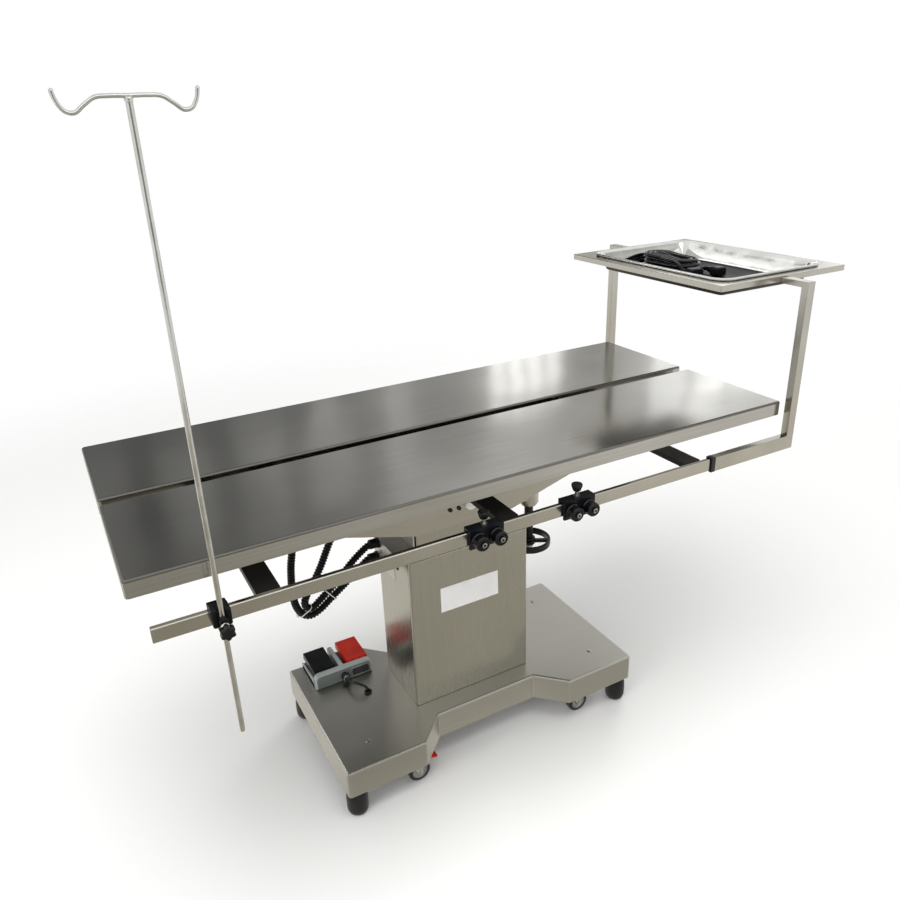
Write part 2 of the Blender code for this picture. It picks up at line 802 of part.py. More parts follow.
def make_head():
    top = HEAD_Z + HEAD_THICK
    head = block(
        COLUMN_X - HEAD_HALF_X, COLUMN_X + HEAD_HALF_X, -HEAD_HALF_Y, HEAD_HALF_Y, HEAD_Z, top
    )
    cheek = [(COLUMN_X + CHEEK_R, top - 0.002), (COLUMN_X + CHEEK_R, PIVOT_Z)]
    for k in range(1, 8):
        angle = math.pi * k / 8
        cheek.append((COLUMN_X + CHEEK_R * math.cos(angle), PIVOT_Z + CHEEK_R * math.sin(angle)))
    cheek += [(COLUMN_X - CHEEK_R, PIVOT_Z), (COLUMN_X - CHEEK_R, top - 0.002)]
    for side in (-1, 1):
        low = side * CHEEK_Y - CHEEK_THICK / 2
        weld(head, prism(cheek, low, low + CHEEK_THICK, "Y"))
    left = COLUMN_X - HEAD_HALF_X + 0.001
    sheet = BRACKET_SHEET
    fold = [
        (BRACKET_X, BRACKET_BOTTOM),
        (BRACKET_X + sheet, BRACKET_BOTTOM),
        (BRACKET_X + sheet, BRACKET_TOP - sheet),
        (left + sheet, BRACKET_TOP - sheet),
        (left + sheet, HEAD_Z + 0.002),
        (left, HEAD_Z + 0.002),
        (left, BRACKET_TOP),
        (BRACKET_X, BRACKET_TOP),
    ]
    bracket = prism(fold, BRACKET_Y0, BRACKET_Y1, "Y")
    slot_z = BRACKET_TOP - BRACKET_SLOT_DROP
    slot = block(
        BRACKET_X - 0.01,
        BRACKET_X + 0.01,
        BRACKET_SLOT_Y - BRACKET_SLOT_LONG / 2,
        BRACKET_SLOT_Y + BRACKET_SLOT_LONG / 2,
        slot_z - BRACKET_SLOT / 2,
        slot_z + BRACKET_SLOT / 2,
    )
    weld(head, cut(bracket, slot))
    hole = rod(PIVOT_R + RUN, (COLUMN_X, PIVOT_Z), -0.1, 0.1, "Y")
    seat("head_plate", cut(head, hole), "lift", "grey_paint")

    pad_x = COLUMN_X + LIFT_HALF_X + FIT
    middle = NUT_TOP - NUT_ARM_THICK / 2
    nut = turned(
        [
            (NUT_NECK_R, NUT_BOTTOM),
            (NUT_R, NUT_BOTTOM + NUT_NECK),
            (NUT_R, NUT_TOP),
        ],
        (SCREW_X, 0),
        "Z",
    )
    arm = block(
        pad_x + 0.002,
        SCREW_X,
        -NUT_ARM_HALF,
        NUT_ARM_HALF,
        NUT_TOP - NUT_ARM_THICK,
        NUT_TOP - 0.001,
    )
    pad = block(
        pad_x,
        pad_x + NUT_PAD_THICK,
        -NUT_PAD_HALF,
        NUT_PAD_HALF,
        middle - NUT_PAD_DEEP / 2,
        middle + NUT_PAD_DEEP / 2,
    )
    weld(nut, arm, pad)
    bore = rod(NUT_BORE_R, (SCREW_X, 0), NUT_BOTTOM - 0.01, NUT_TOP + 0.01, "Z")
    seat("tilt_nut_housing", cut(nut, bore), "lift", "grey_paint")


def make_under_frame():
    half = SPINE_WIDTH / 2
    centre_z = (SPINE_TOP + SPINE_BOTTOM) / 2
    half_z = (SPINE_TOP - SPINE_BOTTOM) / 2
    tube_points = rectangle(half, half_z, (0, centre_z))
    inner = rectangle(half - SPINE_WALL, half_z - SPINE_WALL, (0, centre_z))
    loops = []
    for points, place in (
        (tube_points, SPINE_LEFT),
        (tube_points, SPINE_RIGHT),
        (inner, SPINE_RIGHT),
        (inner, SPINE_LEFT),
    ):
        loops.append([(place, a, b) for a, b in points])
    frame = loft(loops, ring=True)
    bar_end = RAIL_IN - FIT
    for x in BAR_X:
        bar = block(
            x - BAR_WIDTH / 2,
            x + BAR_WIDTH / 2,
            -bar_end,
            bar_end,
            SPINE_BOTTOM - BAR_THICK,
            SPINE_BOTTOM + 0.001,
        )
        weld(frame, bar)
    lug_half = HINGE_Y + HINGE_EYE_R + 0.001
    for x in HINGE_STATIONS:
        lug = block(
            x - HINGE_LEAF / 2,
            x + HINGE_LEAF / 2,
            -lug_half,
            lug_half,
            SPINE_TOP - 0.001,
            HINGE_Z + HINGE_EYE_R,
        )
        weld(frame, lug)
    for side in (-1, 1):
        low = side * LUG_Y - LUG_THICK / 2
        lug = block(
            SCREW_X - LUG_HALF,
            SCREW_X + LUG_HALF,
            low,
            low + LUG_THICK,
            LUG_BOTTOM,
            SPINE_BOTTOM + 0.001,
        )
        weld(frame, lug)
    for x, y in ((HOSE_A_X, HOSE_A_Y), (HOSE_B_X, HOSE_B_Y)):
        weld(frame, rod(GLAND_R, (x, y), GLAND_BOTTOM, SPINE_BOTTOM + 0.001, "Z", 12))
    for side in (-1, 1):
        pin = (side * HINGE_Y, HINGE_Z)
        cut(frame, rod(HINGE_PIN_R + FIT, pin, SPINE_LEFT, SPINE_RIGHT, "X", 10))
    trunnion = (SCREW_X, PIVOT_Z)
    cut(frame, rod(TRUNNION_R + RUN, trunnion, -0.04, 0.04, "Y", 12))
    seat("under_frame", frame, "tilt", "black_paint")

    for name, side in (("front", -1), ("back", 1)):
        points = rectangle(
            RAIL_THICK / 2, RAIL_DEEP / 2, (side * RAIL_Y, RAIL_TOP - RAIL_DEEP / 2)
        )
        rail = prism(outline(points, 0, RAIL_EDGE, 2), RAIL_LEFT, RAIL_RIGHT, "X")
        seat(f"rail_{name}", rail, "tilt", "steel")
        start = HINGE_STATIONS[0] - HINGE_PIN_PAST
        end = HINGE_STATIONS[-1] + HINGE_PIN_PAST
        pin = rod(HINGE_PIN_R, (side * HINGE_Y, HINGE_Z), start, end, "X", 10)
        seat(f"hinge_pin_{name}", pin, "tilt", "steel")


def make_hull():
    half_sheet = HULL_SHEET / 2
    points = [
        (-HULL_FLAT, HULL_BOTTOM),
        (HULL_FLAT, HULL_BOTTOM),
        (HULL_END, HULL_END_Z),
        (HULL_END, HULL_TOP),
        (-HULL_END, HULL_TOP),
        (-HULL_END, HULL_END_Z),
    ]
    hull = prism(points, -HULL_Y - half_sheet, -HULL_Y + half_sheet, "Y")
    back = prism(points, HULL_Y - half_sheet, HULL_Y + half_sheet, "Y")
    for tool in (hull, back):
        cut(tool, rod(PIVOT_R + FIT, (COLUMN_X, PIVOT_Z), -0.1, 0.1, "Y"))
        bar = block(
            BAR_X[1] - BAR_WIDTH / 2 - FIT,
            BAR_X[1] + BAR_WIDTH / 2 + FIT,
            -0.1,
            0.1,
            SPINE_BOTTOM - BAR_THICK - FIT,
            SPINE_BOTTOM + 0.001 + FIT,
        )
        cut(tool, bar)
    for side in (-1, 1):
        x = COLUMN_X + side * WEB_X
        web = block(
            x - WEB_THICK / 2,
            x + WEB_THICK / 2,
            -HULL_Y,
            HULL_Y,
            WEB_BOTTOM,
            SPINE_BOTTOM - FIT,
        )
        weld(hull, web)
    seat("hull", weld(hull, back), "tilt", "stainless")

    head_in = HULL_Y + half_sheet + FIT
    head_out = head_in + PIVOT_HEAD
    profile = [
        (PIVOT_HEAD_R, -head_out),
        (PIVOT_HEAD_R, -head_in),
        (PIVOT_R, -head_in),
        (PIVOT_R, head_in),
        (PIVOT_HEAD_R, head_in),
        (PIVOT_HEAD_R, head_out),
    ]
    pin = turned(profile, (COLUMN_X, PIVOT_Z), "Y")
    seat("tilt_pin", pin, "tilt", "steel")


def make_tilt_screw():
    yoke = rod(YOKE_R, (SCREW_X, 0), YOKE_BOTTOM, YOKE_TOP, "Z", 14)
    reach = LUG_Y + LUG_THICK / 2 + 0.001
    weld(yoke, rod(TRUNNION_R, (SCREW_X, PIVOT_Z), -reach, reach, "Y", 12))
    cut(yoke, rod(SPIGOT_R + RUN, (SCREW_X, 0), YOKE_BOTTOM - 0.01, SPIGOT_TOP + RUN, "Z", 12))
    seat("screw_yoke", yoke, "yoke", "black_paint")

    hub_top = WHEEL_TOP + 0.002
    profile = [
        (WHEEL_BORE_R - 0.001, SCREW_END),
        (WHEEL_BORE_R, SCREW_END + 0.001),
        (WHEEL_BORE_R, hub_top + FIT),
        (SCREW_R, hub_top + FIT),
        (SCREW_R, YOKE_BOTTOM - FIT),
        (SPIGOT_R, YOKE_BOTTOM - FIT),
        (SPIGOT_R, SPIGOT_TOP),
    ]
    screw = turned(profile, (SCREW_X, 0), "Z", 16)
    seat("tilt_screw", screw, "screw", "black_paint")

    inner = WHEEL_R - WHEEL_RIM
    edge = 0.002
    profile = [
        (inner + edge, WHEEL_BOTTOM),
        (WHEEL_R - edge, WHEEL_BOTTOM),
        (WHEEL_R, WHEEL_BOTTOM + edge),
        (WHEEL_R, WHEEL_TOP - edge),
        (WHEEL_R - edge, WHEEL_TOP),
        (inner + edge, WHEEL_TOP),
        (inner, WHEEL_TOP - edge),
        (inner, WHEEL_BOTTOM + edge),
    ]
    wheel = turned(profile, (SCREW_X, 0), "Z", 28, ring=True)
    middle = (WHEEL_TOP + WHEEL_BOTTOM) / 2
    for k in range(3):
        spoke = block(
            0.004,
            inner + 0.003,
            -WHEEL_SPOKE / 2,
            WHEEL_SPOKE / 2,
            middle - 0.003,
            middle + 0.003,
        )
        turn = math.radians(90 + 120 * k)
        for vertex in spoke.data.vertices:
            x, y = vertex.co.x, vertex.co.y
            vertex.co.x = SCREW_X + x * math.cos(turn) - y * math.sin(turn)
            vertex.co.y = x * math.sin(turn) + y * math.cos(turn)
        weld(wheel, spoke)
    weld(wheel, rod(WHEEL_HUB_R, (SCREW_X, 0), WHEEL_BOTTOM + 0.001, hub_top, "Z", 14))
    cut(wheel, rod(WHEEL_BORE_R + FIT, (SCREW_X, 0), SCREW_END, hub_top + 0.01, "Z", 12))
    seat("handwheel", wheel, "screw", "black_plastic")


def make_panels():
    inner = PANEL_GAP / 2
    centre_y = inner + PANEL_WIDTH / 2
    leaf_in = HINGE_LEAF / 2 + 0.0005
    leaf_out = leaf_in + HINGE_LEAF
    notch = leaf_out + NOTCH_MARGIN
    under = TOP - PANEL_SHEET - FIT
    arm_bottom = under - ARM_DEEP
    for name, side in (("front", -1), ("back", 1)):
        points = rectangle(PANEL_LENGTH / 2, PANEL_WIDTH / 2, (0, side * centre_y))
        panel = pan_down(
            points, TOP, TOP - PANEL_RIM, PANEL_SHEET, PANEL_BEND, PANEL_CORNER
        )
        low, high = sorted((side * (inner - 0.002), side * (inner + PANEL_SHEET + 0.0005)))
        for x in HINGE_STATIONS:
            cut(panel, block(x - notch, x + notch, low, high, TOP - PANEL_RIM - 0.01, NOTCH_TOP))
        seat(f"panel_{name}", panel, name, "stainless")

        low, high = sorted(
            (side * (CARRIER_Y - CARRIER_WIDTH / 2), side * (CARRIER_Y + CARRIER_WIDTH / 2))
        )
        carrier = block(
            HINGE_STATIONS[0] - CARRIER_PAST,
            HINGE_STATIONS[-1] + CARRIER_PAST,
            low,
            high,
            under - CARRIER_DEEP,
            under,
        )
        low, high = sorted((side * HINGE_Y, side * ARM_REACH))
        for x in HINGE_STATIONS:
            for hand in (-1, 1):
                start, end = sorted((x + hand * leaf_in, x + hand * leaf_out))
                arm = block(start, end, low, high, arm_bottom + 0.001, under - 0.001)
                weld(arm, rod(HINGE_EYE_R, (side * HINGE_Y, HINGE_Z), start, end, "X", 12))
                weld(carrier, arm)
        hole = rod(
            HINGE_PIN_R + RUN, (side * HINGE_Y, HINGE_Z), SPINE_LEFT, SPINE_RIGHT, "X", 10
        )
        seat(f"carrier_{name}", cut(carrier, hole), name, "steel")


def make_tray_holder():
    leg_z = RAIL_TOP - RAIL_DEEP / 2
    post_left = POST_X - POST_WIDE / 2
    post_right = POST_X + POST_WIDE / 2
    for name, side in (("front", -1), ("back", 1)):
        half = LEG_WIDE / 2
        low, high = sorted((side * (RAIL_Y - half), side * (RAIL_Y + half)))
        leg = block(
            LEG_LEFT, post_right, low, high, leg_z - LEG_DEEP / 2, leg_z + LEG_DEEP / 2
        )
        weld(leg, block(post_left, post_right, low, high, leg_z, POST_TOP))
        in_y, out_y = sorted((side * (FRAME_HALF_Y + FIT), side * (RAIL_Y + half)))
        weld(leg, block(post_left, post_right, in_y, out_y, POST_TOP - STUB_DEEP, POST_TOP))
        bore = block(
            LEG_LEFT - 0.01,
            post_left - 0.002,
            low + LEG_WALL,
            high - LEG_WALL,
            leg_z - LEG_DEEP / 2 + LEG_WALL,
            leg_z + LEG_DEEP / 2 - LEG_WALL,
        )
        seat(f"tray_post_{name}", cut(leg, bore), "tray_holder", "steel")

    centre = (FRAME_X, 0)
    outer = rectangle(FRAME_HALF_X, FRAME_HALF_Y, centre)
    opening = rectangle(FRAME_HALF_X - FRAME_FLANGE_X, FRAME_HALF_Y - FRAME_FLANGE_Y, centre)
    under = FRAME_TOP - FRAME_SHEET
    foot = FRAME_TOP - FRAME_DEEP
    loops = [
        level(outline(outer, 0.001, FRAME_CORNER), FRAME_TOP),
        level(outline(opening, 0, FRAME_CORNER), FRAME_TOP),
        level(outline(opening, 0, FRAME_CORNER), under),
        level(outline(outer, FRAME_SHEET, FRAME_CORNER), under),
        level(outline(outer, FRAME_SHEET, FRAME_CORNER), foot),
        level(outline(outer, 0, FRAME_CORNER), foot),
        level(outline(outer, 0, FRAME_CORNER), FRAME_TOP - 0.001),
    ]
    seat("tray_frame", loft(loops, ring=True), "tray_holder", "steel")


def make_tray():
    rim = rectangle(TRAY_HALF_X, TRAY_HALF_Y, (TRAY_X, TRAY_Y))
    wall = TRAY_RIM_WIDE
    foot = TRAY_RIM_WIDE + TRAY_TAPER
    sheet = TRAY_SHEET
    roll = FRAME_TOP + FIT
    turn = 0.006

    def loop(inset, z):
        return level(outline(rim, inset, TRAY_CORNER, 5), z)

    loops = [
        loop(foot + turn + sheet, TRAY_FLOOR + sheet),
        loop(foot + sheet + 0.0015, TRAY_FLOOR + sheet + 0.002),
        loop(foot + sheet - 0.001, TRAY_FLOOR + turn + sheet),
        loop(wall + sheet + 0.0005, TRAY_RIM_TOP - 0.004),
        loop(wall - 0.001, TRAY_RIM_TOP - 0.001),
        loop(wall - 0.004, TRAY_RIM_TOP),
        loop(0.002, TRAY_RIM_TOP - 0.001),
        loop(0, TRAY_RIM_TOP - 0.003),
        loop(0.001, roll),
        loop(0.0035, roll),
        loop(0.003, TRAY_RIM_TOP - 0.003),
        loop(wall - 0.003, TRAY_RIM_TOP - 0.0025),
        loop(wall, TRAY_RIM_TOP - 0.005),
        loop(foot - 0.001, TRAY_FLOOR + turn),
        loop(foot + 0.001, TRAY_FLOOR + 0.0015),
        loop(foot + turn, TRAY_FLOOR),
    ]
    seat("tray", loft(loops), "tray", "stainless")


def hank_place(turns, half_width):
    """A point of one loop, a narrow-waisted run-and-bend shape, turns round from its start."""
    run = 2 * LEAD_HALF_RUN
    bend = math.pi * half_width
    s = (turns % 1.0) * 2 * (run + bend)
    if s < run:
        u, v = -LEAD_HALF_RUN + s, half_width
    elif s < run + bend:
        angle = (s - run) / half_width
        u = LEAD_HALF_RUN + half_width * math.sin(angle)
        v = half_width * math.cos(angle)
    elif s < 2 * run + bend:
        u, v = LEAD_HALF_RUN - (s - run - bend), -half_width
    else:
        angle = (s - 2 * run - bend) / half_width
        u = -LEAD_HALF_RUN - half_width * math.sin(angle)
        v = -half_width * math.cos(angle)
    waist = 1 - LEAD_WAIST * math.exp(-((u / LEAD_WAIST_LONG) ** 2))
    return u, v * waist


def hank_route():
    """Layers that spiral in, climb over half a turn, and spiral out, ending in two straight tails."""
    per_turn = 22
    low = TRAY_INSIDE + LEAD_R
    points = []
    socket_z = TRAY_INSIDE + SOCKET_DEEP / 2
    reach = SOCKET_AT - FIT
    points.append((-reach, LEAD_OUT, socket_z))
    points.append((-reach + TAIL_STRAIGHT, LEAD_OUT, socket_z))
    points.append((-reach + 0.018, LEAD_OUT, socket_z * 0.6 + low * 0.4))
    points.append((-LEAD_HALF_RUN - 0.012, LEAD_OUT, low))
    turn = 0.0
    for layer in range(LEAD_LAYERS):
        inward = layer % 2 == 0
        z = low + layer * LEAD_LAYER
        steps = LEAD_TURNS * per_turn
        for k in range(steps + 1):
            share = k / steps
            width = LEAD_OUT - share * (LEAD_OUT - LEAD_IN)
            if not inward:
                width = LEAD_IN + share * (LEAD_OUT - LEAD_IN)
            u, v = hank_place(turn + k / per_turn, width)
            points.append((u, v, z))
        turn += LEAD_TURNS
        if layer == LEAD_LAYERS - 1:
            break
        for k in range(1, per_turn // 2):
            rise = (1 - math.cos(2 * math.pi * k / per_turn)) / 2
            u, v = hank_place(turn + k / per_turn, width)
            points.append((u, v, z + LEAD_LAYER * rise))
        turn += 0.5
    top = points[-1][2]
    plug_z = TRAY_INSIDE + PLUG_DEEP / 2
    for k in range(1, 7):
        onward = k / 6 * 2 * LEAD_HALF_RUN
        width = LEAD_OUT + LEAD_STEP * 0.5 * onward / LEAD_HALF_TURN
        waist_u = LEAD_HALF_RUN - onward
        waist = 1 - LEAD_WAIST * math.exp(-((waist_u / LEAD_WAIST_LONG) ** 2))
        points.append((waist_u, -width * waist, top))
    side = -LEAD_TAIL
    points.append((-0.062, side, top))
    points.append((-0.078, side, top * 0.72 + plug_z * 0.28))
    points.append((-0.090, side, top * 0.18 + plug_z * 0.82))
    points.append((-PLUG_AT + TAIL_STRAIGHT, side, plug_z))
    points.append((-PLUG_AT + FIT, side, plug_z))
    return points


def on_tray(u, v, z):
    turn = math.radians(LEAD_TURN_DEG)
    x = LEAD_X + u * math.sin(turn) + v * math.cos(turn)
    y = LEAD_Y + u * math.cos(turn) - v * math.sin(turn)
    return (x, y, z)


def make_mains_lead():
    path = np.array([on_tray(*point) for point in hank_route()])
    towards = np.array(on_tray(1, 0, 0)) - np.array(on_tray(0, 0, 0))
    sides = 6
    gap = hank_gap(path)
    length = np.linalg.norm(np.diff(path, axis=0), axis=1).sum()
    print(f"mains lead: length {length:.3f} m, least gap {gap * 1000:.2f} mm")
    lead = tube(path, LEAD_R, sides, towards, -towards)
    seat("mains_lead", lead, "tray", "black_plastic")

    place_plug("appliance_connector", SOCKET_AT, LEAD_OUT, SOCKET_HALF, SOCKET_DEEP, SOCKET_LONG, ())
    pins = (-PLUG_PIN_APART, PLUG_PIN_APART)
    place_plug("mains_plug", PLUG_AT, -LEAD_TAIL, PLUG_HALF, PLUG_DEEP, PLUG_LONG, pins)


def place_plug(name, start, side, half, deep, long, pins):
    """A moulded plug body, lying on the tray's floor, narrower where the lead enters."""
    middle = TRAY_INSIDE + deep / 2
    loops = []
    neck = LEAD_R + 0.002
    for share, wide, high in (
        (0.0, neck, neck),
        (0.30, neck + 0.001, neck + 0.001),
        (0.48, half, deep / 2),
        (0.94, half, deep / 2),
        (1.0, half - 0.002, deep / 2 - 0.002),
    ):
        points = outline(rectangle(wide, high), 0, min(wide, high) * 0.5, 3)
        loops.append([on_tray(-start - share * long, side + a, middle + b) for a, b in points])
    plug = loft(loops)
    for place in pins:
        ring = circle(PLUG_PIN_R, (side + place, middle), 12)
        start_u = -start - long + 0.003
        rows = []
        for u in (start_u, start_u - PLUG_PIN - 0.003):
            rows.append([on_tray(u, a, b) for a, b in ring])
        weld(plug, loft(rows))
    seat(name, plug, "tray", "black_plastic")


def hank_gap(path):
    """The least space between parts of the lead that are not neighbours along it."""
    fine = []
    for a, b in zip(path[:-1], path[1:]):
        for t in np.linspace(0, 1, 6, endpoint=False):
            fine.append(a + t * (b - a))
    fine = np.array(fine)
    along = np.concatenate([[0], np.cumsum(np.linalg.norm(np.diff(fine, axis=0), axis=1))])
    least = 1.0
    for i in range(len(fine)):
        far = np.abs(along - along[i]) > 0.04
        if far.any():
            least = min(least, np.linalg.norm(fine[far] - fine[i], axis=1).min())
    return least - 2 * LEAD_R


def make_iv_pole():
    back = RAIL_IN - LEASH_GAP
    clamp = block(
        IV_X - IV_BLOCK_HALF,
        IV_X + IV_BLOCK_HALF,
        -IV_BLOCK_FRONT,
        -back + IV_BLOCK_LIP,
        IV_BLOCK_BOTTOM,
        IV_BLOCK_TOP,
    )
    slot = block(
        IV_X - 0.05,
        IV_X + 0.05,
        -RAIL_OUT - LEASH_GAP,
        -back,
        RAIL_BOTTOM - LEASH_GAP,
        RAIL_TOP + LEASH_GAP,
    )
    hole = rod(IV_R + RUN, (IV_X, -IV_Y), IV_BLOCK_BOTTOM - 0.01, IV_BLOCK_TOP + 0.01, "Z", 14)
    groove = block(
        IV_X - IV_GROOVE,
        IV_X + IV_GROOVE,
        -IV_BLOCK_FRONT - 0.01,
        -IV_Y,
        IV_GROOVE_Z,
        IV_BLOCK_TOP + 0.01,
    )
    thread = rod(IV_STUD_R + RUN, (IV_X, IV_KNOB_Z), -IV_BLOCK_FRONT - 0.01, -IV_Y, "Y", 12)
    for side in (-1, 1):
        x0, x1 = sorted((IV_X + side * IV_NECK_HALF, IV_X + side * 0.05))
        cut(clamp, block(x0, x1, -IV_BLOCK_FRONT - 0.01, -back + 0.02, IV_BLOCK_BOTTOM - 0.01, IV_NECK_Z))
    seat("iv_clamp", cut(clamp, slot, hole, groove, thread), "iv_clamp", "black_plastic")

    lobed = []
    for k in range(24):
        angle = 2 * math.pi * k / 24
        radius = IV_KNOB_R + IV_KNOB_LOBE * math.cos(IV_KNOB_LOBES * angle)
        lobed.append((IV_X + radius * math.cos(angle), IV_KNOB_Z + radius * math.sin(angle)))
    knob = prism(lobed, -IV_KNOB_FRONT, -IV_KNOB_BACK, "Y")
    profile = [
        (IV_STUD_R, -IV_Y - IV_R - 0.0004),
        (IV_STUD_R, -IV_BLOCK_FRONT - FIT),
        (IV_COLLAR_R, -IV_BLOCK_FRONT - FIT),
        (IV_COLLAR_R, -IV_KNOB_BACK - 0.002),
    ]
    weld(knob, turned(profile, (IV_X, IV_KNOB_Z), "Y", 12))
    seat("iv_knob", knob, "iv_knob", "black_plastic")

    pole = rod(IV_R, (IV_X, -IV_Y), IV_BOTTOM, IV_TOP, "Z", 12)
    half_hook = [
        (0.000, 0.0000),
        (0.020, 0.0003),
        (0.035, -0.0010),
        (0.047, -0.0085),
        (0.057, -0.0155),
        (0.066, -0.0140),
        (0.073, -0.0040),
        (0.076, 0.0090),
    ]
    route = [(IV_X - x, -IV_Y, IV_TOP + z) for x, z in reversed(half_hook[1:])]
    route += [(IV_X + x, -IV_Y, IV_TOP + z) for x, z in half_hook]
    path = smooth_route(route, 0.008)
    hook = tube(path, HOOK_R, 8, path[1] - path[0], path[-1] - path[-2])
    seat("iv_pole", weld(pole, hook), "iv_pole", "chrome")


def make_leash(number):
    x = LEASH_X[number - 1]
    front_in = -RAIL_OUT - LEASH_GAP
    front_out = front_in - LEASH_FRONT
    back_in = -RAIL_IN + LEASH_GAP
    back_out = back_in + LEASH_LIP
    ceiling = RAIL_TOP + FIT
    roof = ceiling + LEASH_ROOF
    points = [
        (back_in, LEASH_LIP_BOTTOM),
        (back_out, LEASH_LIP_BOTTOM),
        (back_out, roof),
        (front_out, roof),
        (front_out, LEASH_BOTTOM),
        (front_in, LEASH_BOTTOM),
        (front_in, ceiling),
        (back_in, ceiling),
    ]
    clamp = prism(points, x - LEASH_HALF, x + LEASH_HALF, "X")
    wheel_back = front_out - ROLLER_SIDE
    wheel_front = wheel_back - ROLLER_WIDE
    head_back = wheel_front - ROLLER_SIDE
    for index, side in enumerate((-1, 1)):
        centre = (x + side * ROLLER_X, ROLLER_Z)
        profile = [
            (ROLLER_HEAD_R, head_back - ROLLER_HEAD),
            (ROLLER_HEAD_R, head_back),
            (ROLLER_PIN_R, head_back),
            (ROLLER_PIN_R, front_out + 0.002),
        ]
        weld(clamp, turned(profile, centre, "Y", 12))
        edge = 0.003
        ring = [
            (ROLLER_PIN_R + RUN, wheel_front),
            (ROLLER_R - edge, wheel_front),
            (ROLLER_R, wheel_front + edge),
            (ROLLER_R, wheel_back - edge),
            (ROLLER_R - edge, wheel_back),
            (ROLLER_PIN_R + RUN, wheel_back),
        ]
        which = 2 * (number - 1) + index + 1
        body(f"roller_{which}", f"leash_{number}", (centre[0], wheel_back, ROLLER_Z))
        roller = turned(ring, centre, "Y", 18, ring=True)
        seat(f"leash_roller_{which}", roller, f"roller_{which}", "black_rubber")
    stem = (x, -RAIL_Y)
    cut(clamp, rod(THUMB_STEM_R + RUN, stem, ceiling - 0.005, roof + 0.01, "Z", 10))
    seat(f"leash_clamp_{number}", clamp, f"leash_{number}", "black_paint")
    profile = [
        (THUMB_STEM_R, ceiling),
        (THUMB_STEM_R, THUMB_BOTTOM),
        (THUMB_NECK_R, THUMB_BOTTOM),
        (THUMB_R, THUMB_TOP - 0.004),
        (THUMB_R, THUMB_TOP - 0.001),
        (THUMB_R - 0.001, THUMB_TOP),
    ]
    body(f"thumb_{number}", f"leash_{number}", (stem[0], stem[1], THUMB_BOTTOM))
    seat(f"leash_thumb_{number}", turned(profile, stem, "Z", 16), f"thumb_{number}", "black_plastic")


def make_switch():
    left = SWITCH_X - SWITCH_HALF
    right = SWITCH_X + SWITCH_HALF
    z = SWITCH_Z
    wall_back = SWITCH_FRONT + SWITCH_WALL
    points = [
        (SWITCH_FRONT, z),
        (SWITCH_BACK, z),
        (SWITCH_BACK, z + SWITCH_FLOOR),
        (wall_back, z + SWITCH_FLOOR),
        (wall_back, z + SWITCH_TOP - 0.001),
        (wall_back - 0.002, z + SWITCH_TOP),
        (SWITCH_FRONT + 0.008, z + SWITCH_TOP),
        (SWITCH_FRONT + 0.005, z + SWITCH_TOP - 0.003),
    ]
    housing = prism(points, left, right, "X")
    rib = [
        (wall_back - 0.004, z + SWITCH_FLOOR - 0.002),
        (SWITCH_BACK, z + SWITCH_FLOOR - 0.002),
        (SWITCH_BACK, z + SWITCH_FLOOR + 0.008),
        (SWITCH_BACK - 0.020, z + SWITCH_TOP - 0.008),
        (wall_back - 0.003, z + SWITCH_TOP - 0.0015),
    ]
    web_left = SWITCH_X - SWITCH_WEB / 2
    web_right = SWITCH_X + SWITCH_WEB / 2
    spans = (
        (left, left + SWITCH_RIB),
        (web_left, web_right),
        (right - SWITCH_RIB, right),
    )
    for start, end in spans:
        weld(housing, prism(rib, start, end, "X"))
    pin_place = (PEDAL_Y, z + PEDAL_Z)
    weld(housing, rod(PEDAL_PIN_R, pin_place, left + 0.001, right - 0.001, "X", 10))
    slot = block(
        SWITCH_X - SWITCH_SLOT / 2,
        SWITCH_X + SWITCH_SLOT / 2,
        PEDAL_Y + 0.012,
        SWITCH_BACK - 0.016,
        z + SWITCH_FLOOR + 0.004,
        z + SWITCH_TOP + 0.010,
    )
    cut(housing, slot)
    gland_place = (SWITCH_GLAND_X, z + SWITCH_GLAND_Z)
    weld(housing, rod(SWITCH_GLAND_R, gland_place, SWITCH_GLAND_Y, wall_back - 0.004, "Y", 14))
    seat("switch_housing", housing, "table", "grey_paint")

    pedal = [
        (PEDAL_Y - 0.008, z + 0.0165),
        (PEDAL_Y + 0.006, z + 0.0165),
        (PEDAL_TIP, z + 0.0235),
        (PEDAL_TIP, z + 0.0370),
        (PEDAL_TIP - 0.003, z + 0.0390),
        (PEDAL_Y - 0.005, z + 0.0375),
        (PEDAL_Y - 0.008, z + 0.0350),
    ]
    for name, start, end, material in (
        ("raise", spans[0][1], spans[1][0], "black_plastic"),
        ("lower", spans[1][1], spans[2][0], "red_plastic"),
    ):
        shape = prism(pedal, start + PEDAL_SIDE, end - PEDAL_SIDE, "X")
        bore = rod(PEDAL_PIN_R + RUN, pin_place, left, right, "X", 10)
        seat(f"pedal_{name}", cut(shape, bore), f"pedal_{name}", material)

    gland_z = z + SWITCH_GLAND_Z
    route = [
        (SWITCH_GLAND_X, SWITCH_GLAND_Y - FIT, gland_z),
        (SWITCH_GLAND_X, SWITCH_GLAND_Y - 0.007, gland_z),
        (SWITCH_GLAND_X + 0.003, SWITCH_GLAND_Y - 0.017, gland_z + 0.002),
        (SWITCH_GLAND_X + 0.011, SWITCH_GLAND_Y - 0.030, gland_z + 0.004),
        (LEAD_HOLE_X - 0.009, LEAD_HOLE_Y + 0.006, gland_z + 0.002),
        (LEAD_HOLE_X - 0.002, LEAD_HOLE_Y + 0.001, z + 0.0125),
        (LEAD_HOLE_X, LEAD_HOLE_Y, z + 0.006),
        (LEAD_HOLE_X, LEAD_HOLE_Y, z),
    ]
    path = smooth_route(route, 0.004)
    lead = tube(path, SWITCH_LEAD_R, 8, (0, -1, 0), (0, 0, -1))
    seat("switch_lead", lead, "table", "black_rubber")


